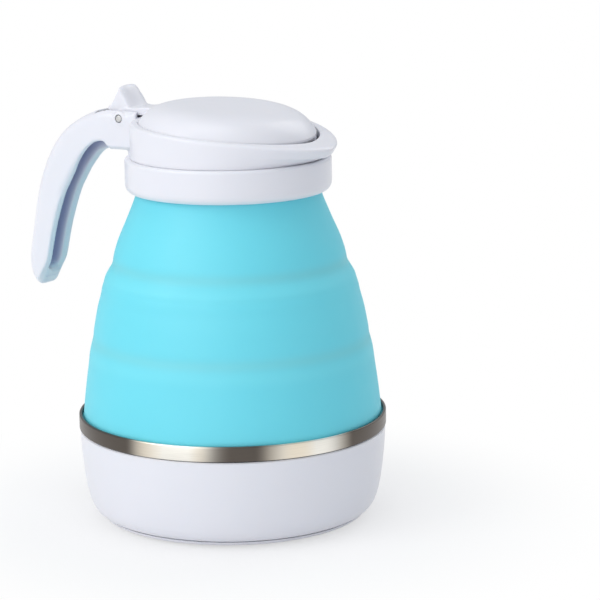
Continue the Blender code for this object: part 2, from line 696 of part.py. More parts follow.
def pad_place(index):
    """Give the (x, y) of one anti-slip pad."""
    bearing = math.radians(45) + index * math.tau / PAD_COUNT
    return PAD_RING_RADIUS * math.cos(bearing), PAD_RING_RADIUS * math.sin(bearing)


def make_bottom_cover():
    """Make the bottom cover with its spigot, pad recesses and screw holes."""
    edge_top = BASE_SEAM_HEIGHT - JOINT_GAP
    spigot_top = edge_top + COVER_SPIGOT_HEIGHT
    spigot_inner = SPIGOT_RADIUS - COVER_SPIGOT_WALL
    profile = [
        (0, COVER_THICKNESS), (spigot_inner, COVER_THICKNESS), (spigot_inner, spigot_top),
        (SPIGOT_RADIUS, spigot_top), (SPIGOT_RADIUS, edge_top), (COVER_RADIUS, edge_top),
        (COVER_RADIUS - COVER_EDGE_INSET, COVER_EDGE_RISE), (COVER_FLAT_RADIUS, 0), (0, 0),
    ]
    cover = turned("bottom_cover", profile, closed=False)
    for index in range(PAD_COUNT):
        x, y = pad_place(index)
        combine(cover, rod(f"pad_recess_{index}", (x, y, -CUT_OVERRUN), (x, y, PAD_THICKNESS + JOINT_GAP),
                           PAD_RADIUS + JOINT_GAP))
    for index in range(COVER_SCREW_COUNT):
        x, y = cover_screw_place(index)
        combine(cover, rod(f"screw_hole_{index}", (x, y, -CUT_OVERRUN), (x, y, COVER_THICKNESS + CUT_OVERRUN),
                           COVER_SCREW_RADIUS + JOINT_GAP, SMALL_STEPS))
        combine(cover, rod(f"screw_recess_{index}", (x, y, -CUT_OVERRUN),
                           (x, y, COVER_SCREW_HEAD_HEIGHT + 2 * JOINT_GAP), COVER_SCREW_HEAD_RADIUS + JOINT_GAP))
    publish(cover, WHITE_PLASTIC)


def make_cover_fittings():
    """Make the anti-slip pads and the screws of the bottom cover."""
    for index in range(PAD_COUNT):
        x, y = pad_place(index)
        publish(rod(f"foot_pad_{index + 1}", (x, y, 0), (x, y, PAD_THICKNESS), PAD_RADIUS), RUBBER)
    for index in range(COVER_SCREW_COUNT):
        x, y = cover_screw_place(index)
        head_top = JOINT_GAP + COVER_SCREW_HEAD_HEIGHT
        profile = [
            (0, COVER_SCREW_LENGTH), (COVER_SCREW_RADIUS, COVER_SCREW_LENGTH), (COVER_SCREW_RADIUS, head_top),
            (COVER_SCREW_HEAD_RADIUS, head_top), (COVER_SCREW_HEAD_RADIUS, JOINT_GAP), (0, JOINT_GAP),
        ]
        screw = turned(f"cover_screw_{index + 1}", profile, closed=False, steps=SMALL_STEPS)
        screw.location = (x, y, 0)
        publish(screw, PAN_STEEL)


def make_pan():
    """Make the steel pan that the water stands in and the plate below it."""
    floor_top = PAN_FLOOR_HEIGHT + PAN_METAL
    profile = [
        (0, floor_top), (PAN_FLOOR_RADIUS - PAN_METAL, floor_top), (PAN_WALL_RADIUS - PAN_METAL, PAN_FLANGE_TOP),
        (PAN_FLANGE_RADIUS, PAN_FLANGE_TOP), (PAN_FLANGE_RADIUS, BAND_BOTTOM), (PAN_WALL_RADIUS, BAND_BOTTOM),
        (PAN_FLOOR_RADIUS, PAN_FLOOR_HEIGHT), (0, PAN_FLOOR_HEIGHT),
    ]
    publish(turned("heating_pan", profile, closed=False), PAN_STEEL)
    spreader = rod("heat_spreader", (0, 0, SPREADER_TOP - SPREADER_THICKNESS), (0, 0, SPREADER_TOP),
                   SPREADER_RADIUS, TURN_STEPS)
    publish(spreader, ALUMINIUM)


def on_element(bearing):
    """Give a point of the heating element's centre line."""
    return Vector((ELEMENT_RADIUS * math.cos(bearing), ELEMENT_RADIUS * math.sin(bearing), ELEMENT_HEIGHT))


def cold_pin_ends(side):
    """Give both ends of one cold pin; side is 1 towards the spout and -1 towards the handle."""
    bearing = math.radians(-90) + side * ELEMENT_HALF_OPENING
    along = Vector((math.sin(bearing), -math.cos(bearing), 0)) * side
    start = on_element(bearing) + along * JOINT_GAP
    return start, start + along * COLD_PIN_LENGTH, along


def make_element():
    """Make the open heating ring and its two cold pins."""
    first = math.radians(-90) + ELEMENT_HALF_OPENING
    sweep = math.tau - 2 * ELEMENT_HALF_OPENING
    route = [on_element(first + sweep * i / (ELEMENT_POINTS - 1)) for i in range(ELEMENT_POINTS)]
    publish(tube("heating_element", route, ELEMENT_TUBE_RADIUS, 2), PAN_STEEL)
    for number, side in enumerate((1, -1), 1):
        start, end, _ = cold_pin_ends(side)
        publish(rod(f"element_terminal_{number}", start, end, COLD_PIN_RADIUS, SMALL_STEPS), PAN_STEEL)


def make_thermostat():
    """Make the thermostat, its bracket and screws, and the thermal fuse."""
    flange_bottom = HEATER_FACE - THERMOSTAT_FLANGE_THICKNESS
    profile = [
        (0, HEATER_FACE), (THERMOSTAT_FLANGE, HEATER_FACE), (THERMOSTAT_FLANGE, flange_bottom),
        (THERMOSTAT_RADIUS, flange_bottom), (THERMOSTAT_RADIUS, HEATER_FACE - THERMOSTAT_HEIGHT),
        (0, HEATER_FACE - THERMOSTAT_HEIGHT),
    ]
    publish(turned("thermostat", profile, closed=False, steps=HOLE_STEPS + 4), CERAMIC)
    top = flange_bottom - JOINT_GAP
    bottom = top - BRACKET_THICKNESS
    bore = THERMOSTAT_RADIUS + JOINT_GAP
    bracket = box("thermostat_bracket", (-BRACKET_WIDTH / 2, -BRACKET_LENGTH / 2, bottom),
                  (BRACKET_WIDTH / 2, BRACKET_LENGTH / 2, top))
    combine(bracket, rod("bracket_ring", (0, 0, bottom), (0, 0, top), bore + BRACKET_RING_WIDTH), "UNION")
    combine(bracket, rod("bracket_bore", (0, 0, bottom - CUT_OVERRUN), (0, 0, top + CUT_OVERRUN), bore))
    for side in (-1, 1):
        y = side * BRACKET_SCREW_SPREAD
        combine(bracket, rod(f"bracket_hole_{side}", (0, y, bottom - CUT_OVERRUN), (0, y, top + CUT_OVERRUN),
                             BRACKET_SCREW_RADIUS + JOINT_GAP, SMALL_STEPS))
    publish(bracket, PAN_STEEL)
    head_top = bottom - JOINT_GAP
    head_bottom = head_top - BRACKET_SCREW_HEAD_HEIGHT
    for number, side in enumerate((-1, 1), 1):
        profile = [
            (0, HEATER_FACE), (BRACKET_SCREW_RADIUS, HEATER_FACE), (BRACKET_SCREW_RADIUS, head_top),
            (BRACKET_SCREW_HEAD_RADIUS, head_top), (BRACKET_SCREW_HEAD_RADIUS, head_bottom), (0, head_bottom),
        ]
        screw = turned(f"bracket_screw_{number}", profile, closed=False, steps=SMALL_STEPS)
        screw.location = (0, side * BRACKET_SCREW_SPREAD, 0)
        publish(screw, PAN_STEEL)
    fuse_z = HEATER_FACE - FUSE_RADIUS
    fuse = rod("thermal_fuse", (-FUSE_OFFSET, -FUSE_START - FUSE_LENGTH, fuse_z),
               (-FUSE_OFFSET, -FUSE_START, fuse_z), FUSE_RADIUS, SMALL_STEPS)
    publish(fuse, CERAMIC)


def make_switch(rocker_joint):
    """Make the round switch, its rocker and its terminals."""
    depth = BEZEL_FRONT - SWITCH_WELL_DEPTH
    profile = [
        (0, depth), (ROCKER_WELL_RADIUS, depth), (ROCKER_WELL_RADIUS, BEZEL_FRONT),
        (BEZEL_RADIUS - BEZEL_EDGE, BEZEL_FRONT), (BEZEL_RADIUS, BEZEL_FRONT - BEZEL_EDGE),
        (BEZEL_RADIUS, BEZEL_BACK), (SWITCH_BODY_RADIUS, BEZEL_BACK), (SWITCH_BODY_RADIUS, SWITCH_BACK),
        (0, SWITCH_BACK),
    ]
    housing = turned("switch_housing", profile, closed=False)
    publish(facing_y(housing, SWITCH_HEIGHT), BLACK_PLASTIC)
    make_rocker(rocker_joint)
    for index in range(3):
        x = (index - 1) * TERMINAL_PITCH
        blade = box(f"switch_terminal_{index + 1}",
                    (x - TERMINAL_THICKNESS / 2, SWITCH_BACK - JOINT_GAP - TERMINAL_LENGTH,
                     SWITCH_HEIGHT - TERMINAL_WIDTH / 2),
                    (x + TERMINAL_THICKNESS / 2, SWITCH_BACK - JOINT_GAP, SWITCH_HEIGHT + TERMINAL_WIDTH / 2))
        publish(blade, BRASS)


def make_rocker(joint):
    """Make the rocker: a round slice of a bar whose face is two flats, tilted to its off side."""
    back = ROCKER_PIVOT - ROCKER_BACK
    front = BEZEL_FRONT + ROCKER_CROWN
    rocker = rod("switch_rocker", (0, back, SWITCH_HEIGHT), (0, front, SWITCH_HEIGHT), ROCKER_RADIUS, TURN_STEPS)
    room = 2 * ROCKER_RADIUS
    flats = []
    for side in (-1, 1):
        flat = box(f"rocker_flat_{side}", (-room, 0, SWITCH_HEIGHT - room), (room, room, SWITCH_HEIGHT + room))
        middle = Matrix.Translation((0, BEZEL_FRONT - ROCKER_CROWN / 2, 0))
        flat.matrix_world = middle @ Matrix.Rotation(side * ROCKER_TILT, 4, "Z")
        flats.append(flat)
    combine(flats[0], flats[1], "INTERSECT")
    combine(rocker, flats[0])
    baked(rocker)
    place = Matrix.Translation((0, ROCKER_PIVOT, 0))
    rocker.data.transform(place @ Matrix.Rotation(ROCKER_TILT, 4, "Z") @ place.inverted())
    publish(rocker, RED_PLASTIC, joint)


def inlet_pin_places():
    """Give (name, y, z) of the three inlet pins."""
    low = INLET_HEIGHT - INLET_PIN_STEP / 2
    return (
        ("live", INLET_PIN_SPREAD, low),
        ("neutral", -INLET_PIN_SPREAD, low),
        ("earth", 0, low + INLET_PIN_STEP),
    )


def make_inlet():
    """Make the mains inlet's housing and pins."""
    half, rise = INLET_WIDTH / 2, INLET_RISE / 2
    housing = box("inlet_housing", (INLET_FRONT, -half, INLET_HEIGHT - rise),
                  (INLET_BACK, half, INLET_HEIGHT + rise))
    socket = box("inlet_socket",
                 (INLET_FRONT - CUT_OVERRUN, -half + INLET_WALL, INLET_HEIGHT - rise + INLET_WALL),
                 (INLET_FRONT + INLET_SOCKET_DEPTH, half - INLET_WALL, INLET_HEIGHT + rise - INLET_WALL))
    combine(housing, socket)
    for name, y, z in inlet_pin_places():
        wide, thin = INLET_PIN_THICKNESS / 2, INLET_PIN_WIDTH / 2
        hole = box(f"inlet_pin_hole_{name}", (INLET_FRONT, y - wide - JOINT_GAP, z - thin - JOINT_GAP),
                   (INLET_BACK + CUT_OVERRUN, y + wide + JOINT_GAP, z + thin + JOINT_GAP))
        combine(housing, hole)
        pin = box(f"inlet_pin_{name}", (INLET_PIN_TIP, y - wide, z - thin), (INLET_PIN_END, y + wide, z + thin))
        publish(pin, BRASS)
    publish(housing, BLACK_PLASTIC)


def wire_ends():
    """Give the places that the wires leave from and reach."""
    pins = {name: Vector((INLET_PIN_END + WIRE_END_GAP, y, z)) for name, y, z in inlet_pin_places()}
    terminal_y = SWITCH_BACK - JOINT_GAP - TERMINAL_LENGTH - WIRE_END_GAP
    pins["switch_in"] = Vector((-TERMINAL_PITCH, terminal_y, SWITCH_HEIGHT))
    pins["switch_out"] = Vector((TERMINAL_PITCH, terminal_y, SWITCH_HEIGHT))
    fuse_z = HEATER_FACE - FUSE_RADIUS
    pins["fuse_front"] = Vector((-FUSE_OFFSET, -FUSE_START - FUSE_LENGTH - WIRE_END_GAP, fuse_z))
    pins["fuse_back"] = Vector((-FUSE_OFFSET, -FUSE_START + WIRE_END_GAP, fuse_z))
    return pins


def make_wires():
    """Make the five insulated wires, each from one terminal to the next."""
    ends = wire_ends()
    low = COVER_THICKNESS + 6 * WIRE_RADIUS
    mid = ends["live"].z - WIRE_RADIUS
    ring = ELEMENT_RADIUS
    room = 3 * WIRE_RADIUS
    live = [
        ends["live"], ends["live"] + Vector((room, 0, 0)),
        Vector((-ring, ring * 0.72, mid)), Vector((-ring * 0.45, ring, mid)),
        ends["switch_in"] - Vector((0, room, 0)), ends["switch_in"],
    ]
    publish(tube("wire_live", smooth_route(live, WIRE_POINTS), WIRE_RADIUS), WIRE_BROWN)
    switched = [ends["switch_out"], ends["switch_out"] - Vector((0, room, 0))]
    for bearing in (50, 10, -30, -60):
        angle = math.radians(bearing)
        switched.append(Vector((1.15 * ring * math.cos(angle), 1.15 * ring * math.sin(angle), mid)))
    _, end, along = cold_pin_ends(1)
    tip = end + along * WIRE_END_GAP
    switched += [Vector((ring * 0.16, -ring * 1.25, mid + room)), tip + along * room, tip]
    publish(tube("wire_switched", smooth_route(switched, 2 * WIRE_POINTS), WIRE_RADIUS), WIRE_BROWN)
    neutral = [
        ends["neutral"], ends["neutral"] + Vector((room, 0, 0)),
        Vector((-FUSE_OFFSET * 1.5, -FUSE_START - FUSE_LENGTH, mid + WIRE_RADIUS)),
        Vector((-FUSE_OFFSET, -FUSE_START - FUSE_LENGTH - 1.5 * room, ELEMENT_HEIGHT - room)),
        ends["fuse_front"] - Vector((0, room, 0)), ends["fuse_front"],
    ]
    publish(tube("wire_neutral", smooth_route(neutral, WIRE_POINTS), WIRE_RADIUS), WIRE_BLUE)
    _, end, along = cold_pin_ends(-1)
    tip = end + along * WIRE_END_GAP
    back = [
        ends["fuse_back"], ends["fuse_back"] + Vector((0, room, 0)),
        Vector((-FUSE_OFFSET, 1.2 * room, mid)), Vector((-FUSE_OFFSET, -FUSE_START, low)),
        Vector((-FUSE_OFFSET, -ring * 0.8, low)), Vector((-ring * 0.26, -ring * 1.22, low + room)),
        Vector((-ring * 0.16, -ring * 1.25, mid + room)), tip + along * room, tip,
    ]
    publish(tube("wire_return", smooth_route(back, 2 * WIRE_POINTS), WIRE_RADIUS), WIRE_BLUE)
    earth_end = Vector((-FUSE_OFFSET, FUSE_OFFSET, HEATER_FACE))
    earth = [
        ends["earth"], ends["earth"] + Vector((room, 0, 0)),
        Vector((-ring * 0.8, FUSE_OFFSET * 0.5, mid + WIRE_RADIUS)),
        earth_end - Vector((0, 0, 2 * room)), earth_end - Vector((0, 0, room)), earth_end,
    ]
    publish(tube("wire_earth", smooth_route(earth, WIRE_POINTS), WIRE_RADIUS), WIRE_GREEN)


def make_band():
    """Make the rolled steel band that clamps the silicone to the base."""
    inner = BAND_INNER_RADIUS
    profile = [
        (inner - BAND_LIP_REACH, BAND_TOP), (BAND_RADIUS - BAND_EDGE, BAND_TOP),
        (BAND_RADIUS, BAND_TOP - BAND_METAL), (BAND_RADIUS, BAND_BOTTOM + BAND_METAL),
        (BAND_RADIUS - BAND_EDGE, BAND_BOTTOM), (inner, BAND_BOTTOM),
        (inner, BAND_TOP - BAND_METAL), (inner - BAND_LIP_REACH, BAND_TOP - BAND_METAL),
    ]
    publish(turned("steel_band", profile), BRUSHED_STEEL)


def make_silicone(cap_joint):
    """Make the three rings of the folding wall."""
    foot_top = SILICONE_BOTTOM + SILICONE_FOOT_HEIGHT
    visible = SILICONE_FOOT_RADIUS - SILICONE_FOOT_STEP
    rows = ring_rows(BAND_TOP, LOWER_RING_HEIGHT, visible, LOWER_RING_TOP_RADIUS, LOWER_RING_SHARES)
    outer = rows + [(visible, foot_top + SILICONE_FOOT_STEP), (SILICONE_FOOT_RADIUS, foot_top),
                    (SILICONE_FOOT_RADIUS, SILICONE_BOTTOM)]
    inner = [(visible - SILICONE_WALL, SILICONE_BOTTOM)]
    inner += [(radius - SILICONE_WALL, height) for radius, height in reversed(rows)]
    publish(turned("silicone_lower_wall", outer + inner), AQUA_SILICONE)

    rows = ring_rows(FOLD_RING_BOTTOM, FOLD_RING_HEIGHT, FOLD_RING_BOTTOM_RADIUS, FOLD_RING_TOP_RADIUS,
                     FOLD_RING_SHARES)
    publish(turned("silicone_fold_wall", hollow(rows, SILICONE_WALL)), AQUA_SILICONE)

    rows = ring_rows(NECK_RING_BOTTOM, NECK_RING_HEIGHT, NECK_RING_BOTTOM_RADIUS, NECK_RADIUS, NECK_RING_SHARES)
    bore = NECK_RADIUS - SILICONE_WALL
    bead_bottom = NECK_BEAD_TOP - NECK_BEAD_HEIGHT
    neck = [(bore, NECK_BEAD_TOP), (NECK_BEAD_RADIUS, NECK_BEAD_TOP), (NECK_BEAD_RADIUS, bead_bottom),
            (NECK_RADIUS, bead_bottom)]
    inner = [(radius - SILICONE_WALL, height) for radius, height in reversed(rows)]
    publish(turned("silicone_neck_wall", neck + rows + inner), AQUA_SILICONE, cap_joint)


def make_collar(cap_joint):
    """Make the outer collar and the sleeve that holds the silicone's neck from inside."""
    lip_top = COLLAR_BOTTOM + COLLAR_LIP_HEIGHT
    profile = [
        (COLLAR_BORE, COLLAR_TOP), (COLLAR_RADIUS - COLLAR_EDGE, COLLAR_TOP),
        (COLLAR_RADIUS, COLLAR_TOP - COLLAR_EDGE), (COLLAR_RADIUS, COLLAR_BOTTOM + 2.5 * COLLAR_EDGE),
        (COLLAR_RADIUS - 0.6 * COLLAR_EDGE, COLLAR_BOTTOM + COLLAR_EDGE),
        (COLLAR_RADIUS - 2 * COLLAR_EDGE, COLLAR_BOTTOM), (NECK_BORE, COLLAR_BOTTOM),
        (NECK_BORE, lip_top), (COLLAR_BORE, lip_top + NECK_BEAD_REACH),
    ]
    publish(turned("neck_collar", profile), WHITE_PLASTIC, cap_joint)
    bore = SLEEVE_RADIUS - SLEEVE_WALL
    tail = COLLAR_BOTTOM - SLEEVE_TAIL
    profile = [
        (bore, SLEEVE_FLANGE_TOP), (NECK_BEAD_RADIUS, SLEEVE_FLANGE_TOP),
        (NECK_BEAD_RADIUS, SLEEVE_FLANGE_BOTTOM), (SLEEVE_RADIUS, SLEEVE_FLANGE_BOTTOM),
        (SLEEVE_RADIUS, tail), (bore, tail),
    ]
    publish(turned("neck_sleeve", profile), WHITE_PLASTIC, cap_joint)


def handle_screw_height():
    """Give the height of the two handle screws."""
    return CAP_RIM - HANDLE_SCREW_DROP


def make_cap_body(cap_joint):
    """Make the cap body with its ledge, sloping rim and drawn-out spout lip."""
    spigot_bottom = SLEEVE_FLANGE_TOP + JOINT_GAP
    levels = [CAP_STEP + (CAP_RIM - CAP_RIM_EDGE - CAP_STEP) * share / 4 for share in (3, 2, 1)]
    profile = [
        (CAP_RIM_INNER + CAP_RIM_EDGE, CAP_RIM), (CAP_RADIUS - CAP_RIM_EDGE, CAP_RIM),
        (CAP_RADIUS, CAP_RIM - CAP_RIM_EDGE), *[(CAP_RADIUS, level) for level in levels],
        (CAP_RADIUS, CAP_STEP), (NECK_BEAD_RADIUS, CAP_STEP), (NECK_BEAD_RADIUS, spigot_bottom),
        (CAP_MOUTH_RADIUS, spigot_bottom), (CAP_MOUTH_RADIUS, CAP_STEP), (CAP_MOUTH_RADIUS, CAP_LEDGE),
        (CAP_RIM_INNER, CAP_LEDGE), (CAP_RIM_INNER, CAP_RIM - CAP_RIM_EDGE),
    ]
    body = baked(turned("cap_body", profile))
    follow_rim(draw_out_spout(body))
    for side in (-1, 1):
        y = side * HANDLE_SCREW_SPREAD
        combine(body, rod(f"cap_screw_hole_{side}", (-CAP_RADIUS - CUT_OVERRUN, y, handle_screw_height()),
                          (-CAP_MOUTH_RADIUS + CUT_OVERRUN, y, handle_screw_height()),
                          HANDLE_SCREW_RADIUS + JOINT_GAP, SMALL_STEPS))
    publish(body, WHITE_PLASTIC, cap_joint)


def dome_height(share):
    """Height of the lid's dome above its rim at a share of its radius."""
    return LID_RISE * math.sqrt(1 - share ** LID_DOME_POWER)


def tab_outline():
    """List (x, z) of the thumb tab's side outline."""
    back = -HINGE_REACH + TAB_LENGTH * 0.22 - TAB_LENGTH
    return [(back + TAB_LENGTH * along, HINGE_Z + TAB_HEIGHT * up) for along, up in TAB_SHARES]


def make_lid(lid_joint):
    """Make the lid with its hinge arm, knuckle and thumb tab, and the liner that closes it."""
    outer = [(LID_RADIUS * share, CAP_RIM + dome_height(share)) for share in LID_DOME_SHARES]
    inner = [(LID_SKIRT_INNER * share, CAP_RIM + dome_height(share * 0.96) - LID_WALL)
             for share in reversed(LID_DOME_SHARES[:-2])]
    profile = outer + [(LID_RADIUS, LID_SKIRT_BOTTOM), (LID_SKIRT_INNER, LID_SKIRT_BOTTOM),
                       (LID_SKIRT_INNER, inner[0][1] - LID_WALL)] + inner
    lid = turned("lid_shell", profile, closed=False)
    notch = box("pour_notch", (LID_SKIRT_INNER / 2, -POUR_NOTCH_WIDTH / 2, LID_SKIRT_BOTTOM - CUT_OVERRUN),
                (LID_RADIUS + CUT_OVERRUN, POUR_NOTCH_WIDTH / 2, LID_SKIRT_BOTTOM + POUR_NOTCH_HEIGHT))
    combine(lid, notch)
    follow_rim(baked(lid))
    arm = box("lid_arm", (-HINGE_REACH, -KNUCKLE_HALF_WIDTH, ARM_BOTTOM),
              (-LID_RADIUS + ARM_INSET, KNUCKLE_HALF_WIDTH, ARM_BOTTOM + ARM_THICKNESS))
    knuckle = rod("lid_knuckle", (-HINGE_REACH, -KNUCKLE_HALF_WIDTH, HINGE_Z),
                  (-HINGE_REACH, KNUCKLE_HALF_WIDTH, HINGE_Z), KNUCKLE_RADIUS)
    tab = add_bevel(plate("lid_tab", tab_outline(), TAB_HALF_WIDTH), TAB_EDGE)
    for piece in (arm, knuckle, tab):
        combine(lid, piece, "UNION")
    combine(lid, rod("knuckle_bore", (-HINGE_REACH, -KNUCKLE_HALF_WIDTH - CUT_OVERRUN, HINGE_Z),
                     (-HINGE_REACH, KNUCKLE_HALF_WIDTH + CUT_OVERRUN, HINGE_Z), PIN_RADIUS + JOINT_GAP, SMALL_STEPS))
    publish(lid, WHITE_PLASTIC, lid_joint)

    bottom = LID_SKIRT_BOTTOM + LINER_RISE
    edge = LID_SKIRT_INNER - SLIDE_GAP
    rows = [(edge * share, bottom + LINER_THICKNESS) for share in (0.0, 0.4, 0.7, 0.9, 1.0)]
    rows += [(edge * share, bottom) for share in (1.0, 0.9, 0.7, 0.4, 0.0)]
    liner = follow_rim(baked(turned("lid_liner", rows, closed=False)))
    publish(liner, WHITE_PLASTIC, lid_joint)


def handle_points(shares):
    """Turn handle shares into (x, z) points."""
    return [(-CAP_RADIUS - HANDLE_REACH * out, HANDLE_TOP - HANDLE_DROP * down) for out, down in shares]


def handle_half_width(x):
    """Half width of the handle at a place along X."""
    out = (-x - CAP_RADIUS) / HANDLE_REACH
    to_grip = ramp(out, ROOT_SHARE, GRIP_SHARE)
    to_tip = ramp(out, GRIP_SHARE, 1.0)
    blend = to_grip * to_grip * (3 - 2 * to_grip)
    width = HANDLE_HALF_WIDTH + (HANDLE_GRIP_HALF_WIDTH - HANDLE_HALF_WIDTH) * blend
    return width + (HANDLE_TIP_HALF_WIDTH - HANDLE_GRIP_HALF_WIDTH) * to_tip


def shifted(points, distance):
    """Move each point of an open line sideways by a distance, to the line's left."""
    moved = []
    for i, (x, z) in enumerate(points):
        before = Vector(points[max(i - 1, 0)])
        after = Vector(points[min(i + 1, len(points) - 1)])
        along = (after - before).normalized()
        moved.append((x - along.y * distance, z + along.x * distance))
    return moved


def groove_cutter():
    """Make the cutter of the finger groove, open towards the kettle."""
    outer = [point for point, (out, down) in zip(handle_points(HANDLE_OUTER_SHARES), HANDLE_OUTER_SHARES)
             if out > GROOVE_TOP_SHARE]
    inner = [point for point, (out, down) in zip(handle_points(HANDLE_INNER_SHARES), HANDLE_INNER_SHARES)
             if out > GROOVE_TOP_SHARE]
    outline = shifted(outer, HANDLE_WALL) + shifted(inner, -CUT_OVERRUN) + handle_points(GROOVE_END_SHARES)
    cutter = plate("handle_groove", outline, HANDLE_HALF_WIDTH)
    for vertex in cutter.data.vertices:
        vertex.co.y *= (handle_half_width(vertex.co.x) - HANDLE_SIDE_WALL) / HANDLE_HALF_WIDTH
    return cutter


def notch_cutter(name, shares, side):
    """Make the cutter of an opening through one side wall of the groove."""
    cutter = plate(name, handle_points(shares), NOTCH_REACH / 2)
    for vertex in cutter.data.vertices:
        vertex.co.y += side * (NOTCH_BITE + NOTCH_REACH / 2)
    return cutter


def cap_clearance():
    """Make the turned cutter that keeps the handle clear of the collar and the cap body."""
    far = CAP_RADIUS + JOINT_GAP
    low = COLLAR_RADIUS + JOINT_GAP
    profile = [
        (0, HANDLE_TOP + CUT_OVERRUN), (far, HANDLE_TOP + CUT_OVERRUN), (far, CAP_STEP), (low, CAP_STEP),
        (low, COLLAR_BOTTOM - CUT_OVERRUN), (0, COLLAR_BOTTOM - CUT_OVERRUN),
    ]
    return turned("cap_clearance", profile, closed=False)


def make_handle(cap_joint):
    """Make the handle moulding: grooved grip, forked root for the lid's hinge, and clip."""
    root = [(-CAP_RADIUS + CUT_OVERRUN, HANDLE_TOP - HANDLE_DROP * HANDLE_INNER_SHARES[-1][1]),
            (-CAP_RADIUS + CUT_OVERRUN, HANDLE_TOP)]
    outline = (handle_points(HANDLE_OUTER_SHARES) + handle_points(HANDLE_TIP_SHARES)
               + handle_points(HANDLE_INNER_SHARES) + root)
    handle = plate("handle_shell", outline, HANDLE_HALF_WIDTH)
    for vertex in handle.data.vertices:
        vertex.co.y *= handle_half_width(vertex.co.x) / HANDLE_HALF_WIDTH
    baked(add_bevel(handle, HANDLE_EDGE, 3))
    floor = HANDLE_TOP - HANDLE_DROP * HANDLE_INNER_SHARES[-1][1]
    clip = box("handle_clip", (-COLLAR_RADIUS - CLIP_THICKNESS, -CLIP_HALF_WIDTH, floor - CLIP_LENGTH),
               (-CAP_RADIUS + CUT_OVERRUN, CLIP_HALF_WIDTH, floor + CLIP_THICKNESS))
    combine(handle, clip, "UNION")
    reach = HANDLE_HALF_WIDTH + EAR_BOSS_REACH
    boss = rod("ear_boss", (-HINGE_REACH, -reach, HINGE_Z), (-HINGE_REACH, reach, HINGE_Z), EAR_BOSS_RADIUS)
    combine(handle, boss, "UNION")
    combine(handle, cap_clearance())
    combine(handle, groove_cutter())
    below = tuple((out, down + NOTCH_OVERRUN_SHARE) for out, down in HANDLE_INNER_SHARES
                  if NEAR_NOTCH_SHARES[0][0] < out < NEAR_NOTCH_SHARES[-1][0])
    combine(handle, notch_cutter("near_notch", NEAR_NOTCH_SHARES + below, -1))
    combine(handle, notch_cutter("far_notch", FAR_NOTCH_SHARES, 1))
    slot_back = -HINGE_REACH - SLOT_REACH
    slot_front = -CAP_RADIUS - JOINT_GAP - ROOT_FRONT_WALL
    slot = box("tab_slot", (slot_back, -SLOT_HALF_WIDTH, HANDLE_TOP - HANDLE_DROP * SLOT_FLOOR_SHARE),
               (slot_front, SLOT_HALF_WIDTH, HANDLE_TOP + CUT_OVERRUN))
    combine(handle, slot)
    gate = box("arm_gate", (slot_front - CUT_OVERRUN, -SLOT_HALF_WIDTH, CAP_RIM - SLIDE_GAP),
               (-CAP_RADIUS + 2 * CUT_OVERRUN, SLOT_HALF_WIDTH, HANDLE_TOP + CUT_OVERRUN))
    combine(handle, gate)
    combine(handle, rod("ear_bore", (-HINGE_REACH, -reach - CUT_OVERRUN, HINGE_Z),
                        (-HINGE_REACH, reach + CUT_OVERRUN, HINGE_Z), PIN_RADIUS + JOINT_GAP, SMALL_STEPS))
    for side in (-1, 1):
        y = side * HANDLE_SCREW_SPREAD
        combine(handle, rod(f"root_screw_hole_{side}", (slot_front - CUT_OVERRUN, y, handle_screw_height()),
                            (-CAP_RADIUS + CUT_OVERRUN, y, handle_screw_height()),
                            HANDLE_SCREW_RADIUS + JOINT_GAP, SMALL_STEPS))
    publish(handle, WHITE_PLASTIC, cap_joint)
    make_handle_fittings(cap_joint, reach, slot_front)


def make_handle_fittings(cap_joint, reach, slot_front):
    """Make the hinge pin and the two screws that hold the handle to the cap body."""
    end = reach + PIN_END_REACH
    pin = rod("hinge_pin", (-HINGE_REACH, -end, HINGE_Z), (-HINGE_REACH, end, HINGE_Z), PIN_RADIUS, SMALL_STEPS)
    publish(pin, PAN_STEEL, cap_joint)
    head_front = -slot_front + JOINT_GAP
    for number, side in enumerate((-1, 1), 1):
        profile = [
            (0, head_front + HANDLE_SCREW_HEAD_HEIGHT),
            (HANDLE_SCREW_HEAD_RADIUS, head_front + HANDLE_SCREW_HEAD_HEIGHT),
            (HANDLE_SCREW_HEAD_RADIUS, head_front), (HANDLE_SCREW_RADIUS, head_front),
            (HANDLE_SCREW_RADIUS, CAP_MOUTH_RADIUS + JOINT_GAP), (0, CAP_MOUTH_RADIUS + JOINT_GAP),
        ]
        screw = turned(f"handle_screw_{number}", profile, closed=False, steps=SMALL_STEPS)
        place = Matrix.Translation((0, side * HANDLE_SCREW_SPREAD, handle_screw_height()))
        screw.matrix_world = place @ Matrix.Rotation(math.radians(-90), 4, "Y")
        publish(screw, PAN_STEEL, cap_joint)


def main():
    """Build the whole kettle."""
    rocker_joint = joint_empty("rocker_joint", (0, ROCKER_PIVOT, SWITCH_HEIGHT))
    cap_joint = joint_empty("cap_joint", (0, 0, FOLD_RING_TOP))
    lid_joint = joint_empty("lid_joint", (-HINGE_REACH, 0, HINGE_Z))
    make_base_shell()
    make_bottom_cover()
    make_cover_fittings()
    make_pan()
    make_element()
    make_thermostat()
    make_switch(rocker_joint)
    make_inlet()
    make_wires()
    make_band()
    make_silicone(cap_joint)
    make_collar(cap_joint)
    make_cap_body(cap_joint)
    make_lid(lid_joint)
    make_handle(cap_joint)


main()
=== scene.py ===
"""Dress the collapsible travel kettle: fine shapes, finishes, studio and camera."""
import logging
import math
from dataclasses import dataclass, field, replace
from enum import Enum
from typing import Callable, Iterable, Sequence

import bmesh
import bpy
from mathutils import Matrix, Vector
from mathutils.kdtree import KDTree


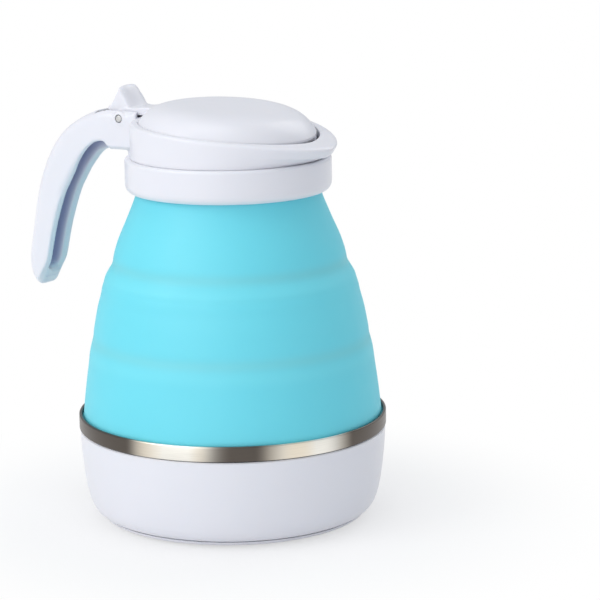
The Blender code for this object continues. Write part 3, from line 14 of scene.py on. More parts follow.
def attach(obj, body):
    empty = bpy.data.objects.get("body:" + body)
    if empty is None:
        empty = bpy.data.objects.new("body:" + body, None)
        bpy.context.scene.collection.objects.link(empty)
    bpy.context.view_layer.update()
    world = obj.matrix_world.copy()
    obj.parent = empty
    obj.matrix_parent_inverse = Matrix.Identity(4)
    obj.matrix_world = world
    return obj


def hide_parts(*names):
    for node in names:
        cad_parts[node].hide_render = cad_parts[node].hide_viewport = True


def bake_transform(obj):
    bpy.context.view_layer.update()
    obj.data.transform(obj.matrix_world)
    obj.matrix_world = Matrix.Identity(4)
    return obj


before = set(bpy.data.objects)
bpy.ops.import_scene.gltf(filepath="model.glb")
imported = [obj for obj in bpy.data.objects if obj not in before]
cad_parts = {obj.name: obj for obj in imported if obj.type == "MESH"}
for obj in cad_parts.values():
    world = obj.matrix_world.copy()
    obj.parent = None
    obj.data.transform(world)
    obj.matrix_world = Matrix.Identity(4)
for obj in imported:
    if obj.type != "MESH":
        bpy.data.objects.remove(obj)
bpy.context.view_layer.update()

LOG = logging.getLogger("kettle")
Row = tuple[float, float]
Spot = tuple[float, float, float]
Corner = tuple[float, float, float]
Colour = tuple[float, float, float]
MM = 0.001
SAME_POINT = 1e-6
MOST_OF_LEG = 0.49
PILLOW_STEPS = 7


class Body(Enum):
    """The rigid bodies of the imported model."""

    BASE = "base"
    CAP = "cap"
    LID = "lid"
    ROCKER = "rocker"


class Join(Enum):
    """What a second solid does to a first."""

    ADD = "UNION"
    CUT = "DIFFERENCE"


# ---- Shaping ----------------------------------------------------------------


def ramp(value: float, start: float, end: float) -> float:
    """Rise from 0 at start to 1 at end."""
    return min(1.0, max(0.0, (value - start) / (end - start)))


def soft_least(value: float, limit: float, blend: float) -> float:
    """Give the lesser of two values, with a rounded change from one to the other."""
    share = min(1.0, max(0.0, 0.5 + 0.5 * (limit - value) / blend))
    return value * share + limit * (1 - share) - blend * share * (1 - share)


def eased(share: float) -> float:
    """Ease a share in and out."""
    return share * share * (3.0 - 2.0 * share)


def filleted(corners: Sequence[Corner], closed: bool = True, steps: int = 5) -> list[Row]:
    """Round the corners of a profile.

    Args:
        corners: Points of (radius, height, how far the rounding reaches).
        closed: Whether the last corner joins the first.
        steps: Segments in each rounding.

    Returns:
        The profile's points.
    """
    rows: list[Row] = []
    count = len(corners)
    for i, (across, up, reach) in enumerate(corners):
        here = Vector((across, up))
        if reach <= 0 or (not closed and i in (0, count - 1)):
            rows.append((across, up))
            continue
        back = Vector(corners[i - 1][:2]) - here
        ahead = Vector(corners[(i + 1) % count][:2]) - here
        start = here + back.normalized() * min(reach, back.length * MOST_OF_LEG)
        end = here + ahead.normalized() * min(reach, ahead.length * MOST_OF_LEG)
        for step in range(steps + 1):
            t = step / steps
            point = start * (1 - t) ** 2 + here * (2 * t * (1 - t)) + end * t ** 2
            rows.append((point.x, point.y))
    return rows


def split_long(rows: Sequence[Row], longest: float, closed: bool = True) -> list[Row]:
    """Add points to a profile until no step is longer than a given length.

    Args:
        rows: The profile.
        longest: The longest step allowed.
        closed: Whether the last point joins the first.

    Returns:
        The finer profile.
    """
    fine: list[Row] = []
    ends = list(rows[1:]) + ([rows[0]] if closed else [])
    for (r0, z0), (r1, z1) in zip(rows, ends):
        pieces = max(1, math.ceil(math.hypot(r1 - r0, z1 - z0) / longest))
        fine += [(r0 + (r1 - r0) * i / pieces, z0 + (z1 - z0) * i / pieces) for i in range(pieces)]
    return fine if closed else fine + [rows[-1]]


def smooth_line(points: Sequence[Row], count: int) -> list[Row]:
    """Read evenly shared points from a smooth curve through the given ones.

    Args:
        points: Points that the curve passes through.
        count: How many points to read.

    Returns:
        The points read.
    """
    knots = [Vector(point) for point in points]
    knots = [2 * knots[0] - knots[1], *knots, 2 * knots[-1] - knots[-2]]
    line: list[Row] = []
    for i in range(count):
        walked = i / (count - 1) * (len(points) - 1)
        leg = min(int(walked), len(points) - 2)
        t = walked - leg
        a, b, c, d = knots[leg:leg + 4]
        at = (2 * b + (c - a) * t + (2 * a - 5 * b + 4 * c - d) * t ** 2 + (3 * b - a - 3 * c + d) * t ** 3) / 2
        line.append((at.x, at.y))
    return line


def linked(name: str, mesh: bpy.types.Mesh) -> bpy.types.Object:
    """Put a mesh in the scene as an object.

    Args:
        name: The object's name.
        mesh: Its mesh.

    Returns:
        The object.
    """
    made = bpy.data.objects.new(name, mesh)
    bpy.context.scene.collection.objects.link(made)
    return made


def from_faces(name: str, solid: bmesh.types.BMesh) -> bpy.types.Object:
    """Turn worked faces into an object of their own.

    Args:
        name: The object's name.
        solid: The faces, which are freed.

    Returns:
        The object.
    """
    mesh = bpy.data.meshes.new(name)
    solid.to_mesh(mesh)
    solid.free()
    return linked(name, mesh)


def revolved(name: str, rows: Sequence[Row], segments: int = 192) -> bpy.types.Object:
    """Turn a profile about the Z axis into a closed solid.

    Args:
        name: The object's name.
        rows: Points of (radius, height). A profile that starts and ends on the axis is closed by its
            poles, and any other is joined from its last point to its first.
        segments: Steps round the axis.

    Returns:
        The solid.
    """
    spots: list[Spot] = []
    rings: list[list[int]] = []
    for radius, height in rows:
        first = len(spots)
        if radius < SAME_POINT:
            spots.append((0.0, 0.0, height))
            rings.append([first])
            continue
        for i in range(segments):
            angle = i / segments * math.tau
            spots.append((radius * math.cos(angle), radius * math.sin(angle), height))
        rings.append(list(range(first, first + segments)))
    pairs = list(zip(rings, rings[1:]))
    if len(rings[0]) > 1 and len(rings[-1]) > 1:
        pairs.append((rings[-1], rings[0]))
    faces: list[tuple[int, ...]] = []
    for low, high in pairs:
        for i in range(segments):
            j = (i + 1) % segments
            corners = [low[i % len(low)], low[j % len(low)], high[j % len(high)], high[i % len(high)]]
            face = tuple(dict.fromkeys(corners))
            if len(face) > 2:
                faces.append(face)
    mesh = bpy.data.meshes.new(name)
    mesh.from_pydata(spots, [], faces)
    return face_out(linked(name, mesh))


def face_out(made: bpy.types.Object) -> bpy.types.Object:
    """Merge an object's doubles and point its faces outwards.

    Args:
        made: The object.

    Returns:
        The same object.
    """
    solid = bmesh.new()
    solid.from_mesh(made.data)
    bmesh.ops.remove_doubles(solid, verts=solid.verts, dist=SAME_POINT)
    bmesh.ops.recalc_face_normals(solid, faces=solid.faces)
    solid.to_mesh(made.data)
    solid.free()
    return made


def baked(made: bpy.types.Object) -> bpy.types.Object:
    """Apply an object's modifiers and its place to its mesh.

    Args:
        made: The object.

    Returns:
        The same object, with a plain mesh.
    """
    depsgraph = bpy.context.evaluated_depsgraph_get()
    mesh = bpy.data.meshes.new_from_object(made.evaluated_get(depsgraph))
    made.modifiers.clear()
    mesh.transform(made.matrix_world)
    made.matrix_world = Matrix.Identity(4)
    made.data = mesh
    return made


def joined(made: bpy.types.Object, other: bpy.types.Object, how: Join) -> bpy.types.Object:
    """Add another solid to a solid, or cut it away; the other is used up.

    Args:
        made: The solid that stays.
        other: The solid that works on it.
        how: What the second solid does.

    Returns:
        The first solid.
    """
    step = made.modifiers.new("join", "BOOLEAN")
    step.operation = how.value
    step.object = other
    step.solver = "MANIFOLD"
    bpy.context.view_layer.update()
    baked(made)
    bpy.data.objects.remove(other, do_unlink=True)
    return made


def merged(made: bpy.types.Object, other: bpy.types.Object) -> bpy.types.Object:
    """Put another object's faces into the first one's mesh; the other is used up.

    Args:
        made: The object that stays.
        other: The object that is used up.

    Returns:
        The first object.
    """
    both = bmesh.new()
    both.from_mesh(made.data)
    both.from_mesh(other.data)
    both.to_mesh(made.data)
    both.free()
    bpy.data.objects.remove(other, do_unlink=True)
    return made


def rounded_edges(made: bpy.types.Object, width: float, segments: int = 4, angle: float = 35) -> bpy.types.Object:
    """Round an object's edges that are sharper than an angle in degrees.

    Args:
        made: The object.
        width: How far the rounding reaches from an edge.
        segments: Facets across it.
        angle: Edges that turn more than this are rounded.

    Returns:
        The same object.
    """
    bevel = made.modifiers.new("round", "BEVEL")
    bevel.width = width
    bevel.segments = segments
    bevel.limit_method = "ANGLE"
    bevel.angle_limit = math.radians(angle)
    bpy.context.view_layer.update()
    return baked(made)


def moulded(made: bpy.types.Object, voxel: float, passes: int) -> bpy.types.Object:
    """Melt joined solids into one skin with soft inner corners, as a moulding has.

    Args:
        made: The solid.
        voxel: Size of the skin's facets.
        passes: Smoothing passes, which widen the fillets.

    Returns:
        The same object.
    """
    skin = made.modifiers.new("skin", "REMESH")
    skin.mode = "VOXEL"
    skin.voxel_size = voxel
    relax = made.modifiers.new("relax", "SMOOTH")
    relax.factor = 0.5
    relax.iterations = passes
    bpy.context.view_layer.update()
    return baked(made)


def slab(name: str, low: Spot, high: Spot) -> bpy.types.Object:
    """Make a box between two corners.

    Args:
        name: The object's name.
        low: The corner with the least values.
        high: The corner with the greatest values.

    Returns:
        The box.
    """
    cube = bmesh.new()
    bmesh.ops.create_cube(cube, size=1.0)
    low, high = Vector(low), Vector(high)
    bmesh.ops.scale(cube, vec=high - low, verts=cube.verts)
    bmesh.ops.translate(cube, vec=(low + high) / 2, verts=cube.verts)
    return from_faces(name, cube)


def bar(name: str, start: Spot, end: Spot, radius: float, steps: int = 48) -> bpy.types.Object:
    """Make a round bar from one point to another.

    Args:
        name: The object's name.
        start: The middle of one end.
        end: The middle of the other end.
        radius: Its radius.
        steps: Facets round it.

    Returns:
        The bar.
    """
    start, end = Vector(start), Vector(end)
    turn = (end - start).to_track_quat("Z", "Y").to_matrix().to_4x4()
    solid = bmesh.new()
    bmesh.ops.create_cone(solid, cap_ends=True, segments=steps, radius1=radius, radius2=radius,
                          depth=(end - start).length, matrix=Matrix.Translation((start + end) / 2) @ turn)
    return from_faces(name, solid)


def skinned(name: str, rings: Sequence[Sequence[Vector]]) -> bpy.types.Object:
    """Close a row of equal rings of points into a solid, with a flat face on the first and the last.

    Args:
        name: The object's name.
        rings: The rings, in order.

    Returns:
        The solid.
    """
    solid = bmesh.new()
    loops = [[solid.verts.new(point) for point in ring] for ring in rings]
    count = len(loops[0])
    solid.faces.new(loops[0])
    solid.faces.new(loops[-1])
    for near, far in zip(loops, loops[1:]):
        for i in range(count):
            j = (i + 1) % count
            solid.faces.new((near[i], near[j], far[j], far[i]))
    return face_out(from_faces(name, solid))


def plate(name: str, outline: Sequence[Row], half_width: float) -> bpy.types.Object:
    """Make a plate from a side outline of (x, z), half_width to each side in Y."""
    return skinned(name, [[Vector((x, y, z)) for x, z in outline] for y in (-half_width, half_width)])


def inset(outline: Sequence[Row], distance: float) -> list[Row]:
    """Move each point of a closed outline inwards.

    Args:
        outline: Points of (x, z).
        distance: How far each point moves.

    Returns:
        The moved points.
    """
    count = len(outline)
    area = sum(outline[i - 1][0] * outline[i][1] - outline[i][0] * outline[i - 1][1] for i in range(count))
    side = math.copysign(distance, area)
    moved: list[Row] = []
    for i, (x, z) in enumerate(outline):
        along = (Vector(outline[(i + 1) % count]) - Vector(outline[i - 1])).normalized()
        moved.append((x - along.y * side, z + along.x * side))
    return moved


def pillow(name: str, outline: Sequence[Row], half: float, reach: float, depth: float) -> bpy.types.Object:
    """Make a plate whose two flanks are rounded like a pillow's.

    Args:
        name: The object's name.
        outline: Side outline of (x, z).
        half: Half width in Y.
        reach: How wide the rounding is along Y.
        depth: How far the rounding draws the outline in.

    Returns:
        The object.
    """
    rings: list[list[Vector]] = []
    for side in (-1, 1):
        for i in range(PILLOW_STEPS + 1):
            angle = math.pi / 2 * (1 - i / PILLOW_STEPS if side < 0 else i / PILLOW_STEPS)
            y = side * (half - reach + reach * math.sin(angle))
            rings.append([Vector((x, y, z)) for x, z in inset(outline, depth * (1 - math.cos(angle)))])
    return skinned(name, rings)


def reshaped(made: bpy.types.Object, rule: Callable[[Vector], Vector]) -> bpy.types.Object:
    """Move every point of an object by a rule.

    Args:
        made: The object.
        rule: Gives the new place of a point.

    Returns:
        The same object.
    """
    for vertex in made.data.vertices:
        vertex.co = rule(vertex.co.copy())
    made.data.update()
    return made


def facing_y(made: bpy.types.Object, height: float) -> bpy.types.Object:
    """Lay a turned object's axis along +Y at a height."""
    made.data.transform(Matrix.Translation((0, 0, height)) @ Matrix.Rotation(math.radians(-90), 4, "X"))
    return made


def smooth_shaded(made: bpy.types.Object, angle: float = 40) -> bpy.types.Object:
    """Shade an object smooth, with edges kept where they turn more than an angle in degrees.

    Args:
        made: The object.
        angle: The angle.

    Returns:
        The same object.
    """
    made.data.shade_smooth()
    made.data.set_sharp_from_angle(angle=math.radians(angle))
    return made


# ---- Node trees -------------------------------------------------------------


class NodeSheet:
    """A node tree that is filled in with short calls."""

    def __init__(self, tree: bpy.types.NodeTree) -> None:
        """Keep the tree."""
        self.tree = tree

    def feed(self, socket: bpy.types.NodeSocket, value: object) -> None:
        """Link a socket to an output, or give it a plain value.

        Args:
            socket: The socket.
            value: An output or a plain value.
        """
        if isinstance(value, bpy.types.NodeSocket):
            self.tree.links.new(value, socket)
        else:
            socket.default_value = value

    def node(self, kind: str, feeds: dict[str | int, object] | None = None, **settings: object) -> bpy.types.Node:
        """Add a node.

        Args:
            kind: The node's type.
            feeds: An output or a plain value for each input that is used.
            **settings: The node's own properties.

        Returns:
            The node.
        """
        made = self.tree.nodes.new(kind)
        for key, value in settings.items():
            setattr(made, key, value)
        for key, value in (feeds or {}).items():
            self.feed(made.inputs[key], value)
        return made

    def math(self, operation: str, first: object, second: object = 0.0) -> bpy.types.NodeSocket:
        """Add a math node on sockets or numbers and return its result."""
        return self.node("ShaderNodeMath", {0: first, 1: second}, operation=operation).outputs["Value"]

    def mix(self, share: object, first: object, second: object, kind: str = "MIX") -> bpy.types.NodeSocket:
        """Mix two colours by a share and return the result.

        Args:
            share: How much of the second colour there is.
            first: The first colour.
            second: The second colour.
            kind: How the second works on the first.

        Returns:
            The mixed colour.
        """
        made = self.node("ShaderNodeMix", {"Factor": share}, data_type="RGBA", blend_type=kind)
        colours = [socket for socket in made.inputs if socket.type == "RGBA"]
        self.feed(colours[0], first)
        self.feed(colours[1], second)
        return next(socket for socket in made.outputs if socket.type == "RGBA")

    def noise(self, vector: bpy.types.NodeSocket, scale: object, detail: float = 3.0) -> bpy.types.NodeSocket:
        """Add a noise texture and return its value."""
        return self.node("ShaderNodeTexNoise", {"Vector": vector, "Scale": scale, "Detail": detail}).outputs["Fac"]

    def point(self, x: object, y: object) -> bpy.types.NodeSocket:
        """Join two values into a place in the XY plane."""
        return self.node("ShaderNodeCombineXYZ", {"X": x, "Y": y}).outputs["Vector"]

    def ranged(self, value: bpy.types.NodeSocket, ends: Row, most: float = 1.0, least: float = 0.0,
               kind: str = "LINEAR") -> bpy.types.NodeSocket:
        """Map a value between two ends to a range.

        Args:
            value: The value.
            ends: Where the range starts and ends; values past them are held.
            most: The result at the upper end.
            least: The result at the lower end.
            kind: How the result runs between them.

        Returns:
            The mapped value.
        """
        made = self.node("ShaderNodeMapRange", {"Value": value, "From Min": ends[0], "From Max": ends[1],
                                                "To Min": least, "To Max": most}, interpolation_type=kind)
        return made.outputs["Result"]


class NodeTool(NodeSheet):
    """A geometry node tree with named inputs, applied to an object and turned into a plain mesh."""

    def __init__(self, name: str) -> None:
        """Start a tree with a geometry input and output.

        Args:
            name: The tree's name.
        """
        super().__init__(bpy.data.node_groups.new(name, "GeometryNodeTree"))
        for side in ("INPUT", "OUTPUT"):
            self.tree.interface.new_socket("Geometry", in_out=side, socket_type="NodeSocketGeometry")
        self.entry = self.node("NodeGroupInput").outputs
        self.sockets: dict[str, str] = {}

    def size(self, name: str, kind: str = "NodeSocketFloat") -> bpy.types.NodeSocket:
        """Add a named input and return its socket inside the tree.

        Args:
            name: The input's name.
            kind: Its socket type.

        Returns:
            The socket.
        """
        item = self.tree.interface.new_socket(name, in_out="INPUT", socket_type=kind)
        self.sockets[name] = item.identifier
        return self.entry[name]

    def end_with(self, geometry: bpy.types.NodeSocket) -> None:
        """Finish the tree: realize the copies, set the material and put the geometry out.

        Args:
            geometry: What the tree has made.
        """
        real = self.node("GeometryNodeRealizeInstances", {"Geometry": geometry})
        paint = self.node("GeometryNodeSetMaterial", {"Geometry": real.outputs["Geometry"],
                                                      "Material": self.size("Material", "NodeSocketMaterial")})
        self.node("NodeGroupOutput", {"Geometry": paint.outputs["Geometry"]})

    def run(self, made: bpy.types.Object, **values: object) -> bpy.types.Object:
        """Apply the tree to an object with values for its inputs.

        Args:
            made: The object that the tree works on.
            **values: A value for each named input, with underscores for spaces.

        Returns:
            The object, with a plain mesh.
        """
        step = made.modifiers.new(self.tree.name, "NODES")
        step.node_group = self.tree
        for name, value in values.items():
            step[self.sockets[name.replace("_", " ")]] = value
        bpy.context.view_layer.update()
        return baked(made)


@dataclass(frozen=True)
class RingPlaces:
    """Where copies stand round the kettle's axis: how many, how far out, and the first one's bearing in degrees."""

    count: int
    radius: float
    first: float


class CopyRing(NodeTool):
    """Copies of a small part at even steps round the kettle's axis."""

    def __init__(self) -> None:
        """Build the tree."""
        super().__init__("copies_round_axis")
        circle = self.node("GeometryNodeMeshCircle", {"Vertices": self.size("Count", "NodeSocketInt"),
                                                      "Radius": self.size("Ring Radius")})
        spin = self.node("ShaderNodeCombineXYZ", {"Z": self.size("First Angle")})
        turn = self.node("GeometryNodeTransform", {"Geometry": circle.outputs["Mesh"],
                                                   "Rotation": spin.outputs["Vector"]})
        copies = self.node("GeometryNodeInstanceOnPoints", {"Points": turn.outputs["Geometry"],
                                                            "Instance": self.entry["Geometry"]})
        self.end_with(copies.outputs["Instances"])

    def spread(self, made: bpy.types.Object, places: RingPlaces, material: bpy.types.Material) -> bpy.types.Object:
        """Turn one part into its ring of copies."""
        return self.run(made, Count=places.count, Ring_Radius=places.radius,
                        First_Angle=math.radians(places.first), Material=material)


class RolledHoop(NodeTool):
    """A hoop of flat metal rolled round the kettle, with rounded edges."""

    def __init__(self) -> None:
        """Build the tree."""
        super().__init__("rolled_hoop")
        path = self.node("GeometryNodeCurvePrimitiveCircle", {"Resolution": self.size("Steps", "NodeSocketInt"),
                                                              "Radius": self.size("Radius")})
        strip = self.node("GeometryNodeCurvePrimitiveQuadrilateral", {"Width": self.size("Metal"),
                                                                      "Height": self.size("Height")})
        soften = self.node("GeometryNodeFilletCurve", {"Curve": strip.outputs["Curve"], "Radius": self.size("Edge"),
                                                       "Count": 5}, mode="POLY")
        roll = self.node("GeometryNodeCurveToMesh", {"Curve": path.outputs["Curve"],
                                                     "Profile Curve": soften.outputs["Curve"]})
        smooth = self.node("GeometryNodeSetShadeSmooth", {"Geometry": roll.outputs["Mesh"]})
        self.end_with(smooth.outputs["Geometry"])


# ---- Finishes ---------------------------------------------------------------

# Name of the point attribute that carries painted shade and highlights, multiplied into a finish's colour.
PAINTED_LIGHT_TONE = "painted_light_tone"
SOFTLY = "SMOOTHSTEP"


class ShaderGroup(NodeSheet):
    """A shared shader node group with named inputs, which puts out a colour, a roughness and a height."""

    def __init__(self, name: str, inputs: dict[str, float | tuple[float, ...]]) -> None:
        """Create the group and its sockets.

        Args:
            name: The group's name.
            inputs: The default value of each input, a number or a colour.
        """
        super().__init__(bpy.data.node_groups.new(name, "ShaderNodeTree"))
        for label, value in inputs.items():
            kind = "NodeSocketFloat" if isinstance(value, float) else "NodeSocketColor"
            self.tree.interface.new_socket(label, in_out="INPUT", socket_type=kind).default_value = value
        for label, kind in (("Colour", "Color"), ("Roughness", "Float"), ("Height", "Float")):
            self.tree.interface.new_socket(label, in_out="OUTPUT", socket_type=f"NodeSocket{kind}")
        self.entry = self.node("NodeGroupInput").outputs

    def place(self) -> bpy.types.NodeSocket:
        """Give the place on the piece."""
        return self.node("ShaderNodeTexCoord").outputs["Object"]

    def end_with(self, colour: bpy.types.NodeSocket, roughness: bpy.types.NodeSocket,
                 height: bpy.types.NodeSocket) -> bpy.types.NodeTree:
        """Put the three results out and return the tree."""
        self.node("NodeGroupOutput", {"Colour": colour, "Roughness": roughness, "Height": height})
        return self.tree


def build_grain() -> bpy.types.NodeTree:
    """Build the group for moulded surfaces: cloudy tone, fine spark-eroded grain and a painted highlight on sharp
    edges.

    Returns:
        The group.
    """
    group = ShaderGroup("moulded_grain", {
        "Colour": (0.8, 0.8, 0.8, 1), "Shade": (0.7, 0.7, 0.7, 1), "Edge Highlight": (0.9, 0.9, 0.9, 1),
        "Cloud Scale": 30.0, "Grain Scale": 2500.0, "Roughness": 0.4, "Spread": 0.1,
    })
    sharp_edge, most_edge_highlight, smear_scale = (0.53, 0.64), 0.6, 140.0
    entry, spot = group.entry, group.place()
    toned = group.mix(group.noise(spot, entry["Cloud Scale"]), entry["Colour"], entry["Shade"])
    # Lighten sharp convex edges towards the edge colour: a painted highlight.
    crest = group.node("ShaderNodeNewGeometry").outputs["Pointiness"]
    colour = group.mix(group.ranged(crest, sharp_edge, most_edge_highlight), toned, entry["Edge Highlight"])
    smear = group.math("SUBTRACT", group.noise(spot, smear_scale, detail=4.0), 0.5)
    roughness = group.math("ADD", entry["Roughness"], group.math("MULTIPLY", smear, entry["Spread"]))
    return group.end_with(colour, roughness, group.noise(spot, entry["Grain Scale"], detail=2.0))


def build_brushing() -> bpy.types.NodeTree:
    """Build the group for metal brushed round the axis, with painted reflections that swing slowly with the bearing.

    Returns:
        The group.
    """
    group = ShaderGroup("brushed_round", {
        "Light": (0.8, 0.8, 0.8, 1), "Dark Reflection": (0.3, 0.3, 0.3, 1), "Warm Reflection": (0.7, 0.6, 0.4, 1), "Lines": 9000.0,
        "Patches": 2.2, "Reflection Lobes": 7.0, "Roughness": 0.3,
    })
    # Phases, fades and ends of the painted reflections: lobes round the axis, quiet on part of it, with patches and
    # warm highlights.
    reflection_lobe_start, quiet_start, quiet_ends, tone_ends = 1.379, 0.925, (-0.35, 0.10), (0.05, 0.93)
    patch_share, warm_scale, warm_ends, most_warm = 0.3, 3.4, (0.44, 0.70), 0.75
    line_turns, line_share, line_lift, line_swing = 6.0, 0.35, 0.45, 0.22
    entry = group.entry
    apart = group.node("ShaderNodeSeparateXYZ", {"Vector": group.place()}).outputs
    bearing = group.math("ARCTAN2", apart["Y"], apart["X"])
    lines = group.noise(group.point(group.math("MULTIPLY", bearing, line_turns),
                                    group.math("MULTIPLY", apart["Z"], entry["Lines"])), 1.0)
    around = group.point(group.math("COSINE", bearing), group.math("SINE", bearing))
    patches = group.math("SUBTRACT", group.noise(around, entry["Patches"], detail=1.5), 0.5)
    # Paint the reflections: bright and dark lobes by bearing, faded out over part of the way round.
    turned = group.math("MULTIPLY", group.math("ADD", bearing, reflection_lobe_start), entry["Reflection Lobes"])
    wave = group.math("ADD", group.math("MULTIPLY", group.math("COSINE", turned), 0.5), 0.5)
    twice = group.math("MULTIPLY", group.math("ADD", bearing, quiet_start), 2.0)
    lit = group.math("MULTIPLY", wave, group.ranged(group.math("COSINE", twice), quiet_ends, kind=SOFTLY))
    mixed = group.math("ADD", lit, group.math("MULTIPLY", patches, patch_share))
    tone = group.ranged(mixed, tone_ends, kind=SOFTLY)
    plain = group.mix(tone, entry["Dark Reflection"], entry["Light"])
    # Warm painted highlights on the bright parts of the reflections.
    warmth = group.ranged(group.noise(around, warm_scale, detail=1.0), warm_ends, most_warm)
    warm_reflection = group.mix(group.math("MULTIPLY", warmth, tone), plain, entry["Warm Reflection"])
    colour = group.mix(line_lift, group.mix(line_share, warm_reflection, lines, "MULTIPLY"), warm_reflection)
    swing = group.math("MULTIPLY", group.math("SUBTRACT", lines, 0.5), line_swing)
    return group.end_with(colour, group.math("ADD", entry["Roughness"], swing), lines)


GRAIN = build_grain()
BRUSHING = build_brushing()


def shaded(name: str, group: bpy.types.NodeTree, values: dict[str, object], bump: float, depth: float,
           toned_by: str = "") -> tuple[bpy.types.Material, bpy.types.NodeInputs]:
    """Start a material whose shader is fed by a shared group.

    Args:
        name: The material's name.
        group: The group that puts out Colour, Roughness and Height.
        values: The group's values for this material.
        bump: Strength of the bump.
        depth: Depth of the bump in metres.
        toned_by: Name of the painted light and shade that the piece's mesh carries, or nothing.

    Returns:
        The material and its shader's inputs.
    """
    material = bpy.data.materials.new(name)
    material.use_nodes = True
    sheet = NodeSheet(material.node_tree)
    shader = material.node_tree.nodes["Principled BSDF"].inputs
    surface = sheet.node("ShaderNodeGroup", values, node_tree=group).outputs
    colour = surface["Colour"]
    # Multiply in the painted shade and highlights that the mesh carries.
    if toned_by:
        carried = sheet.node("ShaderNodeAttribute", attribute_name=toned_by).outputs["Color"]
        colour = sheet.mix(1.0, colour, carried, "MULTIPLY")
    relief = sheet.node("ShaderNodeBump", {"Strength": bump, "Distance": depth, "Height": surface["Height"]})
    sheet.feed(shader["Base Color"], colour)
    sheet.feed(shader["Roughness"], surface["Roughness"])
    sheet.feed(shader["Normal"], relief.outputs["Normal"])
    return material, shader


@dataclass(frozen=True)
class Moulding:
    """A moulded or rubbed surface: plastic, silicone, rubber or wire jacket."""

    name: str
    colour: Colour
    shade: Colour
    # Colour of the painted highlight on sharp edges.
    edge_highlight: Colour
    roughness: float = 0.4
    spread: float = 0.12
    cloud_scale: float = 28.0
    grain_scale: float = 2400.0
    bump: float = 0.06
    grain_depth: float = 0.00012
    coat: float = 0.0
    coat_roughness: float = 0.12
    glow_through: float = 0.0
    glow_colour: Colour = (0.6, 0.8, 1.0)
    glow_depth: float = 0.0018
    toned_by: str = ""

    def material(self) -> bpy.types.Material:
        """Build the material.

        Returns:
            The material.
        """
        values = {"Colour": (*self.colour, 1), "Shade": (*self.shade, 1), "Edge Highlight": (*self.edge_highlight, 1),
                  "Cloud Scale": self.cloud_scale, "Grain Scale": self.grain_scale,
                  "Roughness": self.roughness, "Spread": self.spread}
        material, shader = shaded(self.name, GRAIN, values, self.bump, self.grain_depth, self.toned_by)
        shader["Coat Weight"].default_value = self.coat
        shader["Coat Roughness"].default_value = self.coat_roughness
        shader["Subsurface Weight"].default_value = self.glow_through
        shader["Subsurface Radius"].default_value = self.glow_colour
        shader["Subsurface Scale"].default_value = self.glow_depth
        return material


@dataclass(frozen=True)
class Metal:
    """A bare metal, brushed round the axis or plain drawn."""

    name: str
    # Colours of the painted reflections: the bright and dark ends of the lobes round the axis, and the warm highlight
    # tint.
    light: Colour
    dark_reflection: Colour
    warm_reflection: Colour
    roughness: float = 0.3
    lines: float = 9000.0
    patches: float = 2.2
    bump: float = 0.08
    line_depth: float = 0.00005

    def material(self) -> bpy.types.Material:
        """Build the material.

        Returns:
            The material.
        """
        values = {"Light": (*self.light, 1), "Dark Reflection": (*self.dark_reflection, 1), "Warm Reflection": (*self.warm_reflection, 1),
                  "Lines": self.lines, "Patches": self.patches, "Roughness": self.roughness}
        material, shader = shaded(self.name, BRUSHING, values, self.bump, self.line_depth)
        shader["Metallic"].default_value = 1.0
        return material


WHITE_PLASTIC = Moulding("white_plastic", (0.768, 0.768, 0.816), (0.735, 0.74, 0.792), (0.825, 0.825, 0.856),
                         roughness=0.34, glow_through=0.12, coat=0.12)


